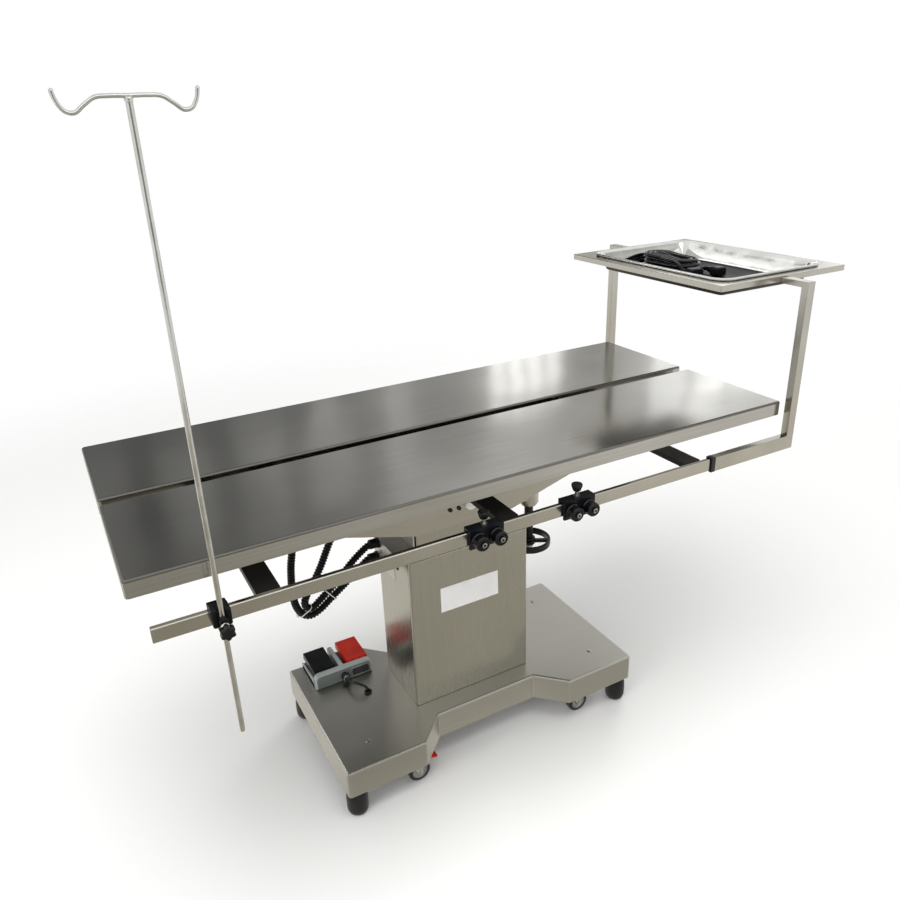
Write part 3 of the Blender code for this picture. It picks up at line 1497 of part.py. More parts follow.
def hose(name, gland, end, low, shape):
    """A ribbed hose: alternate rings of two radii outside, a plain bore inside.

    Each point of its shape is a share of the way across from the gland to the end, and a
    share of the way down from the gland to the lowest point. It leans back evenly as it goes.
    """
    gland = np.array(gland)
    end = np.array(end)
    drop = np.array((0, 0, 1)) * (gland[2] - low)
    points = [gland]
    for number, (across, down) in enumerate(shape):
        flat = gland + across * (end - gland) * (1, 0, 0) - down * drop
        lean = (number + 1) / (len(shape) + 1)
        points.append(flat + lean * (end - gland) * (0, 1, 0))
    straight = (points[-1][0] + 0.6 * (end[0] - points[-1][0]), end[1], end[2])
    route = points + [np.array(straight), end]
    path = smooth_route(route, HOSE_RIB / 2)
    count = len(path)
    radii = [HOSE_R if i % 2 else HOSE_ROOT_R for i in range(count)]
    outside = rings(path, radii, HOSE_SIDES, (0, 0, -1), (1, 0, 0))
    keep = sorted(set(range(0, count, 4)) | {count - 1})
    inside_all = rings(path, [HOSE_BORE_R] * count, HOSE_SIDES, (0, 0, -1), (1, 0, 0))
    inside = [inside_all[i] for i in reversed(keep)]
    length = np.linalg.norm(np.diff(path, axis=0), axis=1).sum()
    print(f"{name}: length {length:.3f} m, {count // 2} ribs")
    seat(name, loft(outside + inside, ring=True), "lift", "black_plastic")
    return path


def make_hoses():
    top = GLAND_BOTTOM - FIT
    end_x = BRACKET_X - FIT
    outer = (
        (0.000, 0.10),
        (-0.004, 0.26),
        (-0.022, 0.41),
        (-0.052, 0.52),
        (-0.067, 0.63),
        (-0.074, 0.73),
        (-0.065, 0.82),
        (-0.048, 0.88),
        (-0.013, 0.935),
        (0.052, 0.985),
        (0.120, 1.00),
        (0.180, 0.993),
        (0.255, 0.970),
        (0.340, 0.932),
        (0.421, 0.895),
        (0.520, 0.852),
        (0.619, 0.808),
        (0.720, 0.761),
    )
    inner = (
        (0.000, 0.08),
        (-0.060, 0.17),
        (-0.190, 0.28),
        (-0.363, 0.39),
        (-0.565, 0.51),
        (-0.722, 0.61),
        (-0.925, 0.72),
        (-1.112, 0.81),
        (-1.255, 0.876),
        (-1.309, 0.927),
        (-1.276, 0.972),
        (-1.175, 1.000),
        (-1.049, 0.992),
        (-0.914, 0.965),
        (-0.760, 0.932),
        (-0.520, 0.880),
        (-0.217, 0.806),
        (0.039, 0.735),
        (0.369, 0.655),
    )
    path_a = hose(
        "hose_a",
        (HOSE_A_X, HOSE_A_Y, top),
        (end_x, HOSE_A_END_Y, HOSE_A_END),
        top - HOSE_A_LOW,
        outer,
    )
    path_b = hose(
        "hose_b",
        (HOSE_B_X, HOSE_B_Y, top),
        (end_x, HOSE_B_END_Y, HOSE_B_END),
        top - HOSE_B_LOW,
        inner,
    )
    apart = np.linalg.norm(path_a[:, None] - path_b[None], axis=2).min()
    print(f"hoses: least gap {(apart - 2 * HOSE_R) * 1000:.2f} mm")


def make_bodies():
    body("table", None, (0, 0, 0))
    body("lift", "table", (COLUMN_X, 0, HEAD_Z))
    body("tilt", "lift", (COLUMN_X, 0, PIVOT_Z))
    body("yoke", "tilt", (SCREW_X, 0, PIVOT_Z))
    body("screw", "yoke", (SCREW_X, 0, YOKE_BOTTOM))
    body("front", "tilt", (0, -HINGE_Y, HINGE_Z))
    body("back", "tilt", (0, HINGE_Y, HINGE_Z))
    body("tray_holder", "tilt", (POST_X, 0, RAIL_TOP))
    body("tray", "tray_holder", (TRAY_X, TRAY_Y, FRAME_TOP))
    body("iv_clamp", "tilt", (IV_X, -RAIL_Y, RAIL_TOP))
    body("iv_pole", "iv_clamp", (IV_X, -IV_Y, IV_BLOCK_TOP))
    body("iv_knob", "iv_clamp", (IV_X, -IV_BLOCK_FRONT, IV_KNOB_Z))
    body("leash_1", "tilt", (LEASH_X[0], -RAIL_Y, RAIL_TOP))
    body("leash_2", "tilt", (LEASH_X[1], -RAIL_Y, RAIL_TOP))
    for name in ("raise", "lower"):
        body(f"pedal_{name}", "table", (SWITCH_X, PEDAL_Y, SWITCH_Z + PEDAL_Z))


def make_finishes():
    finish("stainless", (0.62, 0.62, 0.61), 1.0, 0.32)
    finish("steel", (0.55, 0.55, 0.55), 1.0, 0.35)
    finish("chrome", (0.75, 0.75, 0.76), 1.0, 0.12)
    finish("dark_steel", (0.18, 0.18, 0.19), 0.9, 0.5)
    finish("black_paint", (0.02, 0.02, 0.021), 0.0, 0.45)
    finish("grey_paint", (0.42, 0.43, 0.43), 0.0, 0.5)
    finish("black_plastic", (0.015, 0.015, 0.016), 0.0, 0.5)
    finish("black_rubber", (0.02, 0.02, 0.02), 0.0, 0.75)
    finish("red_plastic", (0.55, 0.03, 0.03), 0.0, 0.45)


def centre_on_floor():
    """Moves the root so that the origin lies under the middle of the box, cords left out."""
    bpy.context.view_layer.update()
    points = []
    for thing in bpy.data.objects:
        if thing.type == "MESH" and thing.name not in CORDS:
            points += [thing.matrix_world @ vertex.co for vertex in thing.data.vertices]
    points = np.array([tuple(point) for point in points])
    low, high = points.min(axis=0), points.max(axis=0)
    middle = (low + high) / 2
    EMPTIES["table"].location = (-middle[0], -middle[1], -low[2])
    bpy.context.view_layer.update()
    print("table moved by", [round(float(v), 5) for v in (-middle[0], -middle[1], -low[2])])
    print("size", [round(float(v), 4) for v in high - low])


clear_scene()
make_finishes()
make_bodies()
make_base()
make_column()
make_head()
make_under_frame()
make_hull()
make_tilt_screw()
make_panels()
make_tray_holder()
make_tray()
make_mains_lead()
make_iv_pole()
make_leash(1)
make_leash(2)
make_switch()
make_hoses()
centre_on_floor()
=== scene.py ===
"""Looks of a V-top operating table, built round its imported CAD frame.

Metres, +Z up; the sizes of turned profiles and plates are in mm. Places are written in table
coordinates, as in the part's source: X = 0 at the middle of the top, Y = 0 on its centreline
with the accessory side at -Y, Z = 0 on the floor. HOME moves them into the row frame. New
pieces are surfaces worked out as arrays.
"""

import math

import bpy
import numpy as np
from mathutils import Matrix, Vector


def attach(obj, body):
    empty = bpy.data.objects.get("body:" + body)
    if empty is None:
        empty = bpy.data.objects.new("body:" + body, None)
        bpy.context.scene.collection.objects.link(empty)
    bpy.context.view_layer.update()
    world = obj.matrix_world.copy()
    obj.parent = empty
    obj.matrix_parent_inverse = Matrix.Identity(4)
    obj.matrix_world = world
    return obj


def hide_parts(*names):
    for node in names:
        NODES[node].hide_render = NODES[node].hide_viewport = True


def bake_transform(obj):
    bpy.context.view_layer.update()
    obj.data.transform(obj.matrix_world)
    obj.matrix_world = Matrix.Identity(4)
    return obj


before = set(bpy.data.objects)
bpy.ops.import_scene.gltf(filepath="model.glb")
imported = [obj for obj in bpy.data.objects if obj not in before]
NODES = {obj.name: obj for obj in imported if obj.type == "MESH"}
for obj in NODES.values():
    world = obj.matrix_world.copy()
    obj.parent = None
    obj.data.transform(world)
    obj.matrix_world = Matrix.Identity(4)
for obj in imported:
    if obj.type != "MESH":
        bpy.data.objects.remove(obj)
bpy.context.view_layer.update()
HOME = np.array((-0.1005, 0.0255, 0.0))
ALONG, DEEP, UP = np.eye(3)

# Heights and places shared with the part's source
RAIL_Y = 0.293
RAIL_Z = 0.6405
COLUMN_X = 0.012
COLUMN_HALF = 0.142
COLUMN_FRONT = -0.079
PIVOT = (COLUMN_X, 0, 0.585)
HANDWHEEL = np.array((0.21, 0, 0.395))
BASE_X = 0.02
BASE_TOP = 0.124
SWITCH_FLOOR = BASE_TOP + 0.0003
SWITCH_LEAN = np.array((0, 0.005, 0.034)) / math.hypot(0.005, 0.034)
TRAY_PLACE = (0.6665, -0.0055)
TRAY_RIM = 0.987
TRAY_FLOOR = 0.947
POLE = (-0.532, -0.321)
POLE_LOW = 0.442
POLE_TOP = 1.335
KNOB = (POLE[0], -0.338, 0.642)
LEASH_X = (-0.079, 0.117)
ROLLER_Z = 0.638
THUMB_Z = 0.67
HINGES = (-0.35, -0.075, 0.29)

# Mains lead, wound as a hank in the tray
LEAD_R = 0.0035
LEAD_STEP = 0.0105
LEAD_LAYER = 0.0078
LEAD_IN = 0.0115
LEAD_TURNS = 2
LEAD_LAYERS = 4
LEAD_HALF_RUN = 0.05
LEAD_WAIST = 0.12
LEAD_WAIST_LONG = 0.022
LEAD_PLACE = (0.669, 0.089)
LEAD_TURN = math.radians(8.0)
LEAD_OUT = LEAD_IN + LEAD_TURNS * LEAD_STEP
TRAY_INSIDE = 0.9488
SOCKET_AT = 0.0957
SOCKET_MIDDLE = 0.01
PLUG_AT = 0.1047
PLUG_MIDDLE = 0.012

# Hoses between the under-frame and the column's head
HOSE_R = 0.0079
HOSE_ROOT_R = 0.0061
HOSE_RIB = 0.0062
HOSE_TOP = 0.6397
HOSE_END_X = -0.1523


def linear(hex_colour):
    """sRGB hex to linear light: c / 12.92 when dark, otherwise ((c + 0.055) / 1.055) ** 2.4."""
    c = np.array([int(hex_colour[i : i + 2], 16) for i in (1, 3, 5)]) / 255
    c = np.where(c <= 0.04045, c / 12.92, ((c + 0.055) / 1.055) ** 2.4)
    return (*c.tolist(), 1.0)


def feed(node, inputs):
    """Sets a node's inputs: to a plain value, to an output, or to another node's first output."""
    for key, value in inputs.items():
        value = value.outputs[0] if isinstance(value, bpy.types.Node) else value
        if isinstance(value, bpy.types.NodeSocket):
            node.id_data.links.new(value, node.inputs[key])
        else:
            node.inputs[key].default_value = value


def add(tree, kind, inputs=None, **settings):
    """Adds one node with its settings and links. A short kind is a shader node's."""
    made = tree.nodes.new(kind if "Node" in kind else f"ShaderNode{kind}")
    for key, value in settings.items():
        setattr(made, key, value)
    feed(made, inputs or {})
    return made


def new_material(name):
    """A node tree with its shader and output, and the piece's Object coordinates."""
    made = bpy.data.materials.new(name)
    made.use_nodes = True
    tree = made.node_tree
    shader = tree.nodes["Principled BSDF"]
    place = add(tree, "TexCoord").outputs["Object"]
    return made, tree, shader, place


def vary(tree, shader, pattern, dark, light, spread, rough, less, more):
    """Lets a pattern move the colour from dark to light, and the roughness about its mean."""
    tint = add(tree, "ValToRGB", {"Fac": pattern})
    for stop, at, shade in zip(tint.color_ramp.elements, (-spread, spread), (dark, light)):
        stop.position = 0.5 + at
        stop.color = linear(shade)
    limits = {"From Min": 0.3, "From Max": 0.7, "To Min": rough - less, "To Max": rough + more}
    gloss = add(tree, "MapRange", {"Value": pattern, **limits})
    feed(shader, {"Base Color": tint, "Roughness": gloss})


def brushed_steel(name, line_mm, light, dark, rough, wave_mm):
    """304 stainless sheet with a belt-brushed finish.

    The belt leaves fine straight lines that draw a highlight out, and cutting and folding leave
    the sheet a little wavy, so that what it mirrors bends. line_mm is the size of one line along
    X, Y and Z, 0.3 mm wide on the real sheet and drawn 2.5 mm wide so that it shows. Clouds from
    handling are about 140 mm long. The waves are wave_mm high and about 300 mm long.
    """
    made, tree, shader, place = new_material(name)
    line_scale = tuple(1000 / size for size in line_mm)
    along = add(tree, "Mapping", {"Vector": place, "Scale": line_scale})
    lines, clouds, waves = (
        add(tree, "TexNoise", {"Vector": at, "Scale": scale, "Detail": detail})
        for at, scale, detail in ((along, 1.0, 3.0), (place, 1000 / 140, 2.0), (place, 1000 / 300, 1.0))
    )
    both = add(tree, "Mix", {"Factor": 0.4, "A": lines, "B": clouds}, data_type="FLOAT")
    vary(tree, shader, both, dark, light, 0.14, rough, 0.015, 0.015)
    bent = add(tree, "Bump", {"Distance": wave_mm / 1000, "Height": waves})
    fine = {"Strength": 0.012, "Distance": 0.0002, "Height": lines, "Normal": bent}
    feed(shader, {"Normal": add(tree, "Bump", fine), "Metallic": 1.0})
    return made


def plated(name, light, dark, rough, cloud_mm, low_angle="#FFFFFF"):
    """Drawn, polished or zinc-plated steel: a metal with soft clouds from handling.

    low_angle tints what it mirrors at a low angle; on the tray floor it is painted shade.
    """
    made, tree, shader, place = new_material(name)
    clouds = add(tree, "TexNoise", {"Vector": place, "Scale": 1000 / cloud_mm, "Detail": 3.0})
    vary(tree, shader, clouds, dark, light, 0.15, rough, 0.04, 0.06)
    feed(shader, {"Metallic": 1.0, "Specular Tint": linear(low_angle)})
    return made


def grained(name, light, dark, rough, grain_mm, relief_mm, shine=0.5):
    """Paint, rubber or moulded plastic: an even colour, faint clouds, and a fine pebbled skin.

    The clouds are 45 mm long. grain_mm is the pebble's size, drawn a few times coarser than the
    real 0.1 to 0.3 mm so that it shows, and shine is less than 0.5 where carbon black in the skin
    dulls its reflection.
    """
    made, tree, shader, place = new_material(name)
    clouds, grain = (
        add(tree, "TexNoise", {"Vector": place, "Scale": 1000 / size, "Detail": detail})
        for size, detail in ((45, 3.0), (grain_mm, 2.0))
    )
    vary(tree, shader, clouds, dark, light, 0.18, rough, 0.06, 0.08)
    skin = {"Strength": 0.35, "Distance": relief_mm / 1000, "Height": grain}
    feed(shader, {"Normal": add(tree, "Bump", skin), "Specular IOR Level": shine})
    return made


# Wiped sheet: windows mirrored with wavering edges, under long streaks
TOP_STEEL = brushed_steel("brushed_stainless_top", (180, 2.5, 2.5), "#BBBAB6", "#B2B1AD", 0.15, 3.0)
# Its bends: painted shade, a darker steel on the bend facets in place of a bright reflection
FOLD_SHADE_STEEL = brushed_steel("stainless_fold_painted_shade", (180, 2.5, 2.5), "#77756F", "#6F6D67", 0.3, 0.1)
# Brushed up and down: soft warm reflections
COLUMN_STEEL = brushed_steel("brushed_stainless_column", (2.5, 2.5, 160), "#AFADA3", "#AAA89E", 0.27, 0.12)
# Brushed lengthwise: broad drawn-out reflections
HULL_STEEL = brushed_steel("brushed_stainless_hull", (160, 2.5, 2.5), "#B5B2A9", "#AFACA3", 0.24, 0.15)
# Coarser belt: an even grey, in which shapes run together
BASE_STEEL = brushed_steel("brushed_stainless_base", (160, 2.5, 2.5), "#B1AFA8", "#ABA9A2", 0.34, 0.12)
# Rails and posts: a clear bright line along each
TUBE_STEEL = brushed_steel("brushed_stainless_tube", (80, 2.5, 80), "#BBB8AF", "#B1AEA4", 0.2, 0.08)
# Blasted: pale and nearly matt
BRACKET_STEEL = brushed_steel("satin_stainless_bracket", (80, 2.5, 80), "#D6D4CE", "#C9C7C0", 0.45, 0.08)
# Pressed and polished: crisp bright lines
TRAY_STEEL = plated("polished_stainless_tray", "#DCDCD9", "#CCCCC9", 0.08, 45)
# Tray floor: painted shade, dark and even, also at a low angle, for the dark things it mirrors
TRAY_FLOOR_SHADE = plated("tray_floor_painted_shade", "#3C3C3F", "#2B2B2E", 0.4, 70, "#D4D4D4")
# Tray underside: never polished, so dull; its dark brownish tone is painted shade
TRAY_UNDERSIDE_SHADE = plated("tray_underside_painted_shade", "#4C4741", "#38342F", 0.38, 60)
# Drawn through a die: one narrow highlight
POLE_STEEL = plated("drawn_stainless_rod", "#D4D4D0", "#C2C2BD", 0.17, 30)
# Base folds: painted highlight, a lighter steel on the rounds for a thin line of light
FOLD_HIGHLIGHT_STEEL = plated("fold_painted_highlight", "#E2E1DC", "#D6D5D0", 0.14, 40)
# Barrel plating: small cloudy highlights
ZINC = plated("bright_zinc_plate", "#BDBCB8", "#9C9B95", 0.26, 12)
# Bare steel under oil: brownish and dark
DARK_STEEL = plated("oiled_mild_steel", "#5A5854", "#403F3C", 0.45, 35)
# Baked powder: soft black, faint orange peel; on the switch casting's inner pan it is painted shade
BLACK_COAT_AND_SHADE = grained("black_powder_coat", "#1C1B19", "#131211", 0.42, 1.2, 0.12, 0.3)
# Anodised block: cool black, tight sheen
CLAMP_COAT = grained("black_anodised_clamp", "#13151B", "#0C0D12", 0.32, 0.9, 0.05, 0.2)
# Etched mould: satin black, hardly a highlight
BLACK_ABS = grained("moulded_black_abs", "#121315", "#0B0C0E", 0.32, 0.8, 0.05, 0.14)
# Corrugated: a short glint on every rib
HOSE_POLYAMIDE = grained("black_corrugated_polyamide", "#121213", "#0A0A0B", 0.3, 2.0, 0.05, 0.22)
# Smooth sheath: thin wet-looking lines
LEAD_PVC = grained("black_pvc_lead", "#121215", "#09090B", 0.14, 3.0, 0.03, 0.4)
# Buffed moulding: near black, small sharp highlights
PHENOLIC = grained("polished_black_phenolic", "#0E0E11", "#08080A", 0.16, 0.6, 0.02, 0.34)
# Moulded rubber: matt grey-black
RUBBER = grained("black_rubber", "#1E1E22", "#131316", 0.42, 1.5, 0.08, 0.3)
# Stoved paint: light grey, soft sheen
GREY_CAST = grained("grey_painted_die_casting", "#A9B0AE", "#99A09E", 0.32, 2.2, 0.1)
# Switch casting's front: painted shade, a darker matt grey where it faces away from the light
GREY_FACE_SHADE = grained("grey_front_painted_shade", "#6F7573", "#616765", 0.48, 1.6, 0.12, 0.3)
# Moulded: plain matt grey
GREY_NYLON = grained("grey_moulded_nylon", "#8C8C8A", "#787876", 0.45, 1.5, 0.06)
# Dyed moulding: strong red, satin
RED_ABS = grained("moulded_red_abs", "#C62A14", "#AE200F", 0.36, 1.4, 0.08, 0.16)
# Thin film: flat and white
LABEL_FILM = grained("white_polyester_film", "#EDEBEA", "#E5E3E2", 0.4, 4.0, 0.02)
# Undyed moulding: milky, a little waxy
NYLON = grained("natural_nylon", "#E0DFD7", "#D0CEC3", 0.4, 1.0, 0.03)
# Anodised plate: dark grey, clean sheen
BLANK_PLATE = grained("dark_anodised_plate", "#2B2C2E", "#1C1D1F", 0.3, 2.0, 0.03)

SIDES, TWO, FOUR = "front back", "1 2", "1 2 3 4"


def each(stems, ends):
    """Names of nodes that come in sets: every stem with every ending."""
    return tuple(f"{stem}_{end}" for stem in stems.split() for end in ends.split())


NODE_FINISH = {
    TOP_STEEL: each("panel", SIDES),
    COLUMN_STEEL: ("column_cover", "lift_column"),
    HULL_STEEL: ("hull",),
    BASE_STEEL: ("base_cover",),
    TUBE_STEEL: each("rail tray_post", SIDES) + ("tray_frame", "tilt_nut_housing"),
    BRACKET_STEEL: ("head_plate",),
    TRAY_STEEL: ("tray",),
    POLE_STEEL: ("iv_pole", "lift_rod", "tilt_pin"),
    ZINC: each("caster_fork", FOUR),
    DARK_STEEL: each("carrier hinge_pin", SIDES) + ("base_plate", "lift_actuator"),
    BLACK_COAT_AND_SHADE: ("under_frame", "screw_yoke", "tilt_screw"),
    CLAMP_COAT: each("leash_clamp", TWO),
    BLACK_ABS: each("leash_thumb", TWO)
    + ("handwheel", "iv_clamp", "iv_knob", "pedal_raise", "mains_plug", "appliance_connector"),
    LEAD_PVC: ("mains_lead", "switch_lead"),
    HOSE_POLYAMIDE: ("hose_a", "hose_b"),
    RUBBER: each("foot caster_wheel leash_roller", FOUR),
    GREY_CAST: ("switch_housing",),
    RED_ABS: each("caster_brake", TWO) + ("pedal_lower",),
}

# Radius in mm of the round on a CAD node's edges, from thin sheet up to mouldings
EDGE_ROUND = {
    0.4: each("carrier", SIDES) + each("caster_fork", FOUR) + ("under_frame", "base_plate"),
    0.8: each("panel", SIDES) + each("caster_brake", TWO) + ("tray_frame", "hull", "head_plate")
    + ("lift_column", "screw_yoke", "tilt_nut_housing", "tilt_screw"),
    1.1: each("rail tray_post", SIDES) + each("leash_clamp", TWO),
    1.3: ("base_cover", "column_cover"),
    1.8: ("pedal_raise", "pedal_lower", "mains_plug", "appliance_connector"),
}

# Folds with a painted highlight on their rounds, and folds with painted shade on their bends
HIGHLIGHT_FOLDS = ("base_cover",)
SHADED_FOLDS = each("panel", SIDES)


def new_group(name):
    """A geometry node group with one way in and one way out."""
    group = bpy.data.node_groups.new(name, "GeometryNodeTree")
    for way in ("INPUT", "OUTPUT"):
        group.interface.new_socket("Geometry", in_out=way, socket_type="NodeSocketGeometry")
    return group, add(group, "NodeGroupInput")


def dress_nodes():
    """Gives every CAD node its finish, and rounds its edges so that they catch a line of light.

    A node is loose triangles, so they are merged and shaded smooth, flat facets are joined, and
    each edge sharper than 35 degrees, or 20 on a fold with a painted highlight, gets an arc of
    two steps, there in a lighter steel. Large faces then keep their own normals, so that a fold
    bends the light only where it bends the sheet. On a panel, the facets that face neither up,
    nor down, nor level take a darker steel: painted shade.
    """
    joined_within, sharp_from, fold_from = np.radians((0.5, 35, 20)).tolist()
    for finish, names in NODE_FINISH.items():
        for name in names:
            NODES[name].data.materials.clear()
            NODES[name].data.materials.append(finish)
    merged, flow = new_group("merged_and_smooth")
    flow = add(merged, "GeometryNodeRemoveAttribute", {"Geometry": flow, "Name": "custom_normal"})
    flow = add(merged, "GeometryNodeMergeByDistance", {"Geometry": flow, "Distance": 1e-5})
    flow = add(merged, "GeometryNodeSetShadeSmooth", {"Geometry": flow})
    add(merged, "NodeGroupOutput", {0: flow})
    folds, flow = new_group("fold_painted_shade")
    rise = add(folds, "SeparateXYZ", {0: add(folds, "GeometryNodeInputNormal")}).outputs["Z"]
    rise = add(folds, "Math", {0: rise}, operation="ABSOLUTE")
    bent = add(folds, "Math", {0: rise, 1: 0.55, 2: 0.42}, operation="COMPARE")
    inputs = {"Geometry": flow, "Selection": bent, "Material Index": 1}
    add(folds, "NodeGroupOutput", {0: add(folds, "GeometryNodeSetMaterialIndex", inputs)})
    for width_mm, names in EDGE_ROUND.items():
        for name in names:
            node = NODES[name]
            node.modifiers.new("merged", "NODES").node_group = merged
            if name in SHADED_FOLDS:
                # The panel's bend facets take a darker steel: painted shade
                node.data.materials.append(FOLD_SHADE_STEEL)
                node.modifiers.new("folds", "NODES").node_group = folds
            flat = node.modifiers.new("flat", "DECIMATE")
            flat.decimate_type, flat.angle_limit = "DISSOLVE", joined_within
            edges = node.modifiers.new("edges", "BEVEL")
            edges.width, edges.segments = width_mm / 1000, 2
            edges.limit_method, edges.angle_limit = "ANGLE", sharp_from
            if name in HIGHLIGHT_FOLDS:
                # The rounds of these folds take a lighter steel: a painted highlight
                node.data.materials.append(FOLD_HIGHLIGHT_STEEL)
                edges.material, edges.angle_limit = 1, fold_from
            node.modifiers.new("even", "WEIGHTED_NORMAL")


def placed(name, data):
    """An object in the scene, with its data."""
    made = bpy.data.objects.new(name, data)
    bpy.context.scene.collection.objects.link(made)
    return made


def piece(name, body, *parts, slot=None, stands_for=None, blend=None):
    """Joins skinned parts into one mesh that moves with a body; its slot is not used.

    A part is (rows, material), where rows is an array of rings, ring i joined to ring i + 1 by
    quads, and both ends are capped. With True as a third value the last ring joins the first.
    """
    points, faces, kinds, finishes = [], [], [], []
    start = 0
    for rows, finish, *closed in parts:
        rings, around = rows.shape[:2]
        index = start + np.arange(rings * around).reshape(rings, around)
        last = rings if closed else rings - 1
        ahead = np.roll(index, -1, axis=0)
        corners = (index, np.roll(index, -1, axis=1), np.roll(ahead, -1, axis=1), ahead)
        quads = np.stack([corner[:last] for corner in corners], axis=-1).reshape(-1, 4).tolist()
        if not closed:
            quads += [index[0, ::-1].tolist(), index[-1].tolist()]
        if finish not in finishes:
            finishes.append(finish)
        points.append(rows.reshape(-1, 3) + HOME)
        faces += quads
        kinds += [finishes.index(finish)] * len(quads)
        start += rings * around
    mesh = bpy.data.meshes.new(name)
    mesh.from_pydata(np.vstack(points).tolist(), [], faces)
    for finish in finishes:
        mesh.materials.append(finish)
    mesh.polygons.foreach_set("material_index", kinds)
    mesh.shade_smooth()
    mesh.set_sharp_from_angle(angle=math.radians(38))
    made = placed(name, mesh)
    if blend:
        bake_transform(made)
    else:
        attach(made, body)
    if stands_for:
        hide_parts(stands_for)
    return made


def lengths(line):
    """The length along a line at each of its points: the sum of the steps so far."""
    return np.concatenate([[0], np.cumsum(np.linalg.norm(np.diff(line, axis=0), axis=1))])


def evenly(line, step):
    """The same line with points an even step apart along its length."""
    along = lengths(line)
    at = np.linspace(0, along[-1], max(2, round(along[-1] / step)) + 1)
    return np.stack([np.interp(at, along, line[:, k]) for k in range(3)], axis=1)


def smooth_route(points, step):
    """A centripetal Catmull-Rom curve through the points, resampled at even steps."""
    p = np.array(points, float)
    padded = np.vstack([2 * p[0] - p[1], p, 2 * p[-1] - p[-2]])
    p0, p1, p2, p3 = (padded[i : i + len(p) - 1, None] for i in range(4))
    before, chord, after = (
        np.sqrt(np.linalg.norm(b - a, axis=2, keepdims=True)) for a, b in ((p0, p1), (p1, p2), (p2, p3))
    )
    slope1 = (p2 - p1) / chord + (p1 - p0) / before - (p2 - p0) / (chord + before)
    slope2 = (p3 - p2) / after + (p2 - p1) / chord - (p3 - p1) / (chord + after)
    t = np.linspace(0, 1, 40, endpoint=False)[None, :, None]
    a = 2 * t**3 - 3 * t**2 + 1
    curve = a * p1 + (1 - a) * p2
    curve = curve + chord * ((t**3 - 2 * t**2 + t) * slope1 + (t**3 - t**2) * slope2)
    return evenly(np.vstack([curve.reshape(-1, 3), p[-1:]]), step)


def carried(path, radii, sides, across_to):
    """A circle carried along a path: path + r (cos t across + sin t other), both square to it."""
    tangent = np.gradient(path, axis=0)
    tangent /= np.linalg.norm(tangent, axis=1)[:, None]
    across = np.cross(across_to, tangent)
    across /= np.linalg.norm(across, axis=1)[:, None]
    other = np.cross(tangent, across)
    t = np.linspace(0, 2 * np.pi, sides, endpoint=False)[None, :, None]
    ring = np.cos(t) * across[:, None] + np.sin(t) * other[:, None]
    return path[:, None] + np.broadcast_to(radii, len(path))[:, None, None] * ring


def on_axis(flat, along, axis):
    """Flat coordinates a, b and a place along an axis, as right-handed X, Y, Z."""
    stacked = np.concatenate([flat, np.broadcast_to(along, flat.shape[:-1])[..., None]], axis=-1)
    return stacked[..., {"Z": [0, 1, 2], "X": [2, 0, 1], "Y": [1, 2, 0]}[axis]]


def turned(profile, centre, axis, sides=40, lobes=0, deep=0.0):
    """A profile of (radius, place) in mm, spun round an axis through the centre.

    Lobes wave the radius by deep * cos(lobes t).
    """
    profile = np.array(profile, float) / 1000
    t = np.linspace(0, 2 * np.pi, sides, endpoint=False)
    radius = profile[:, :1] * (1 + deep * np.cos(lobes * t))
    flat = np.stack([radius * np.cos(t), radius * np.sin(t)], axis=-1)
    return np.array(centre) + on_axis(flat, profile[:, 1:], axis)


def rounded(half_a, half_b, corner, steps=5):
    """A rectangle with quarter-circle corners, anticlockwise; corner may be (upper, lower)."""
    t = np.arange(4)[:, None] * np.pi / 2 + np.linspace(0, np.pi / 2, steps + 1)
    corner = np.repeat(np.broadcast_to(corner, 2), 2)[:, None]
    a = np.array((1, -1, -1, 1))[:, None] * (half_a - corner) + corner * np.cos(t)
    b = np.array((1, 1, -1, -1))[:, None] * (half_b - corner) + corner * np.sin(t)
    return np.stack([a, b], axis=-1).reshape(-1, 2)


def plate(centre, a_way, b_way, half_a, half_b, thick, corner, edge):
    """A rounded rectangle raised by thick along a x b, its top edge eased by a quarter circle.

    The sizes are in mm.
    """
    up = np.cross(a_way, b_way)
    least_corner = 0.2
    t = np.linspace(0, np.pi / 2, 4)
    insets = np.concatenate([[0], edge * (1 - np.cos(t))])
    heights = np.concatenate([[0], thick - edge + edge * np.sin(t)])
    rows = []
    for inset, height in zip(insets, heights):
        corners = np.maximum(np.array(corner) - inset, least_corner)
        flat = rounded(half_a - inset, half_b - inset, corners)
        rows.append(flat[:, :1] * a_way + flat[:, 1:] * b_way + height * up)
    return np.array(centre) + np.array(rows) / 1000


def pinch(u):
    """The hank's runs draw together at the tie, as 1 less a bell curve."""
    return 1 - LEAD_WAIST * np.exp(-((u / LEAD_WAIST_LONG) ** 2))


def hank_loop(turns, half_width):
    """Two straight runs joined by half circles; turns counts how often a point has gone round."""
    run = 2 * LEAD_HALF_RUN
    bend = np.pi * half_width
    s = (turns % 1.0) * 2 * (run + bend)
    right = (s - run) / half_width
    left = (s - 2 * run - bend) / half_width
    where = [s < run, s < run + bend, s < 2 * run + bend]
    u = np.select(
        where,
        [s - LEAD_HALF_RUN, LEAD_HALF_RUN + half_width * np.sin(right), LEAD_HALF_RUN - (s - run - bend)],
        -LEAD_HALF_RUN - half_width * np.sin(left),
    )
    level = half_width + 0 * s
    v = np.select(where, [level, half_width * np.cos(right), -level], -half_width * np.cos(left))
    return u, v * pinch(u)


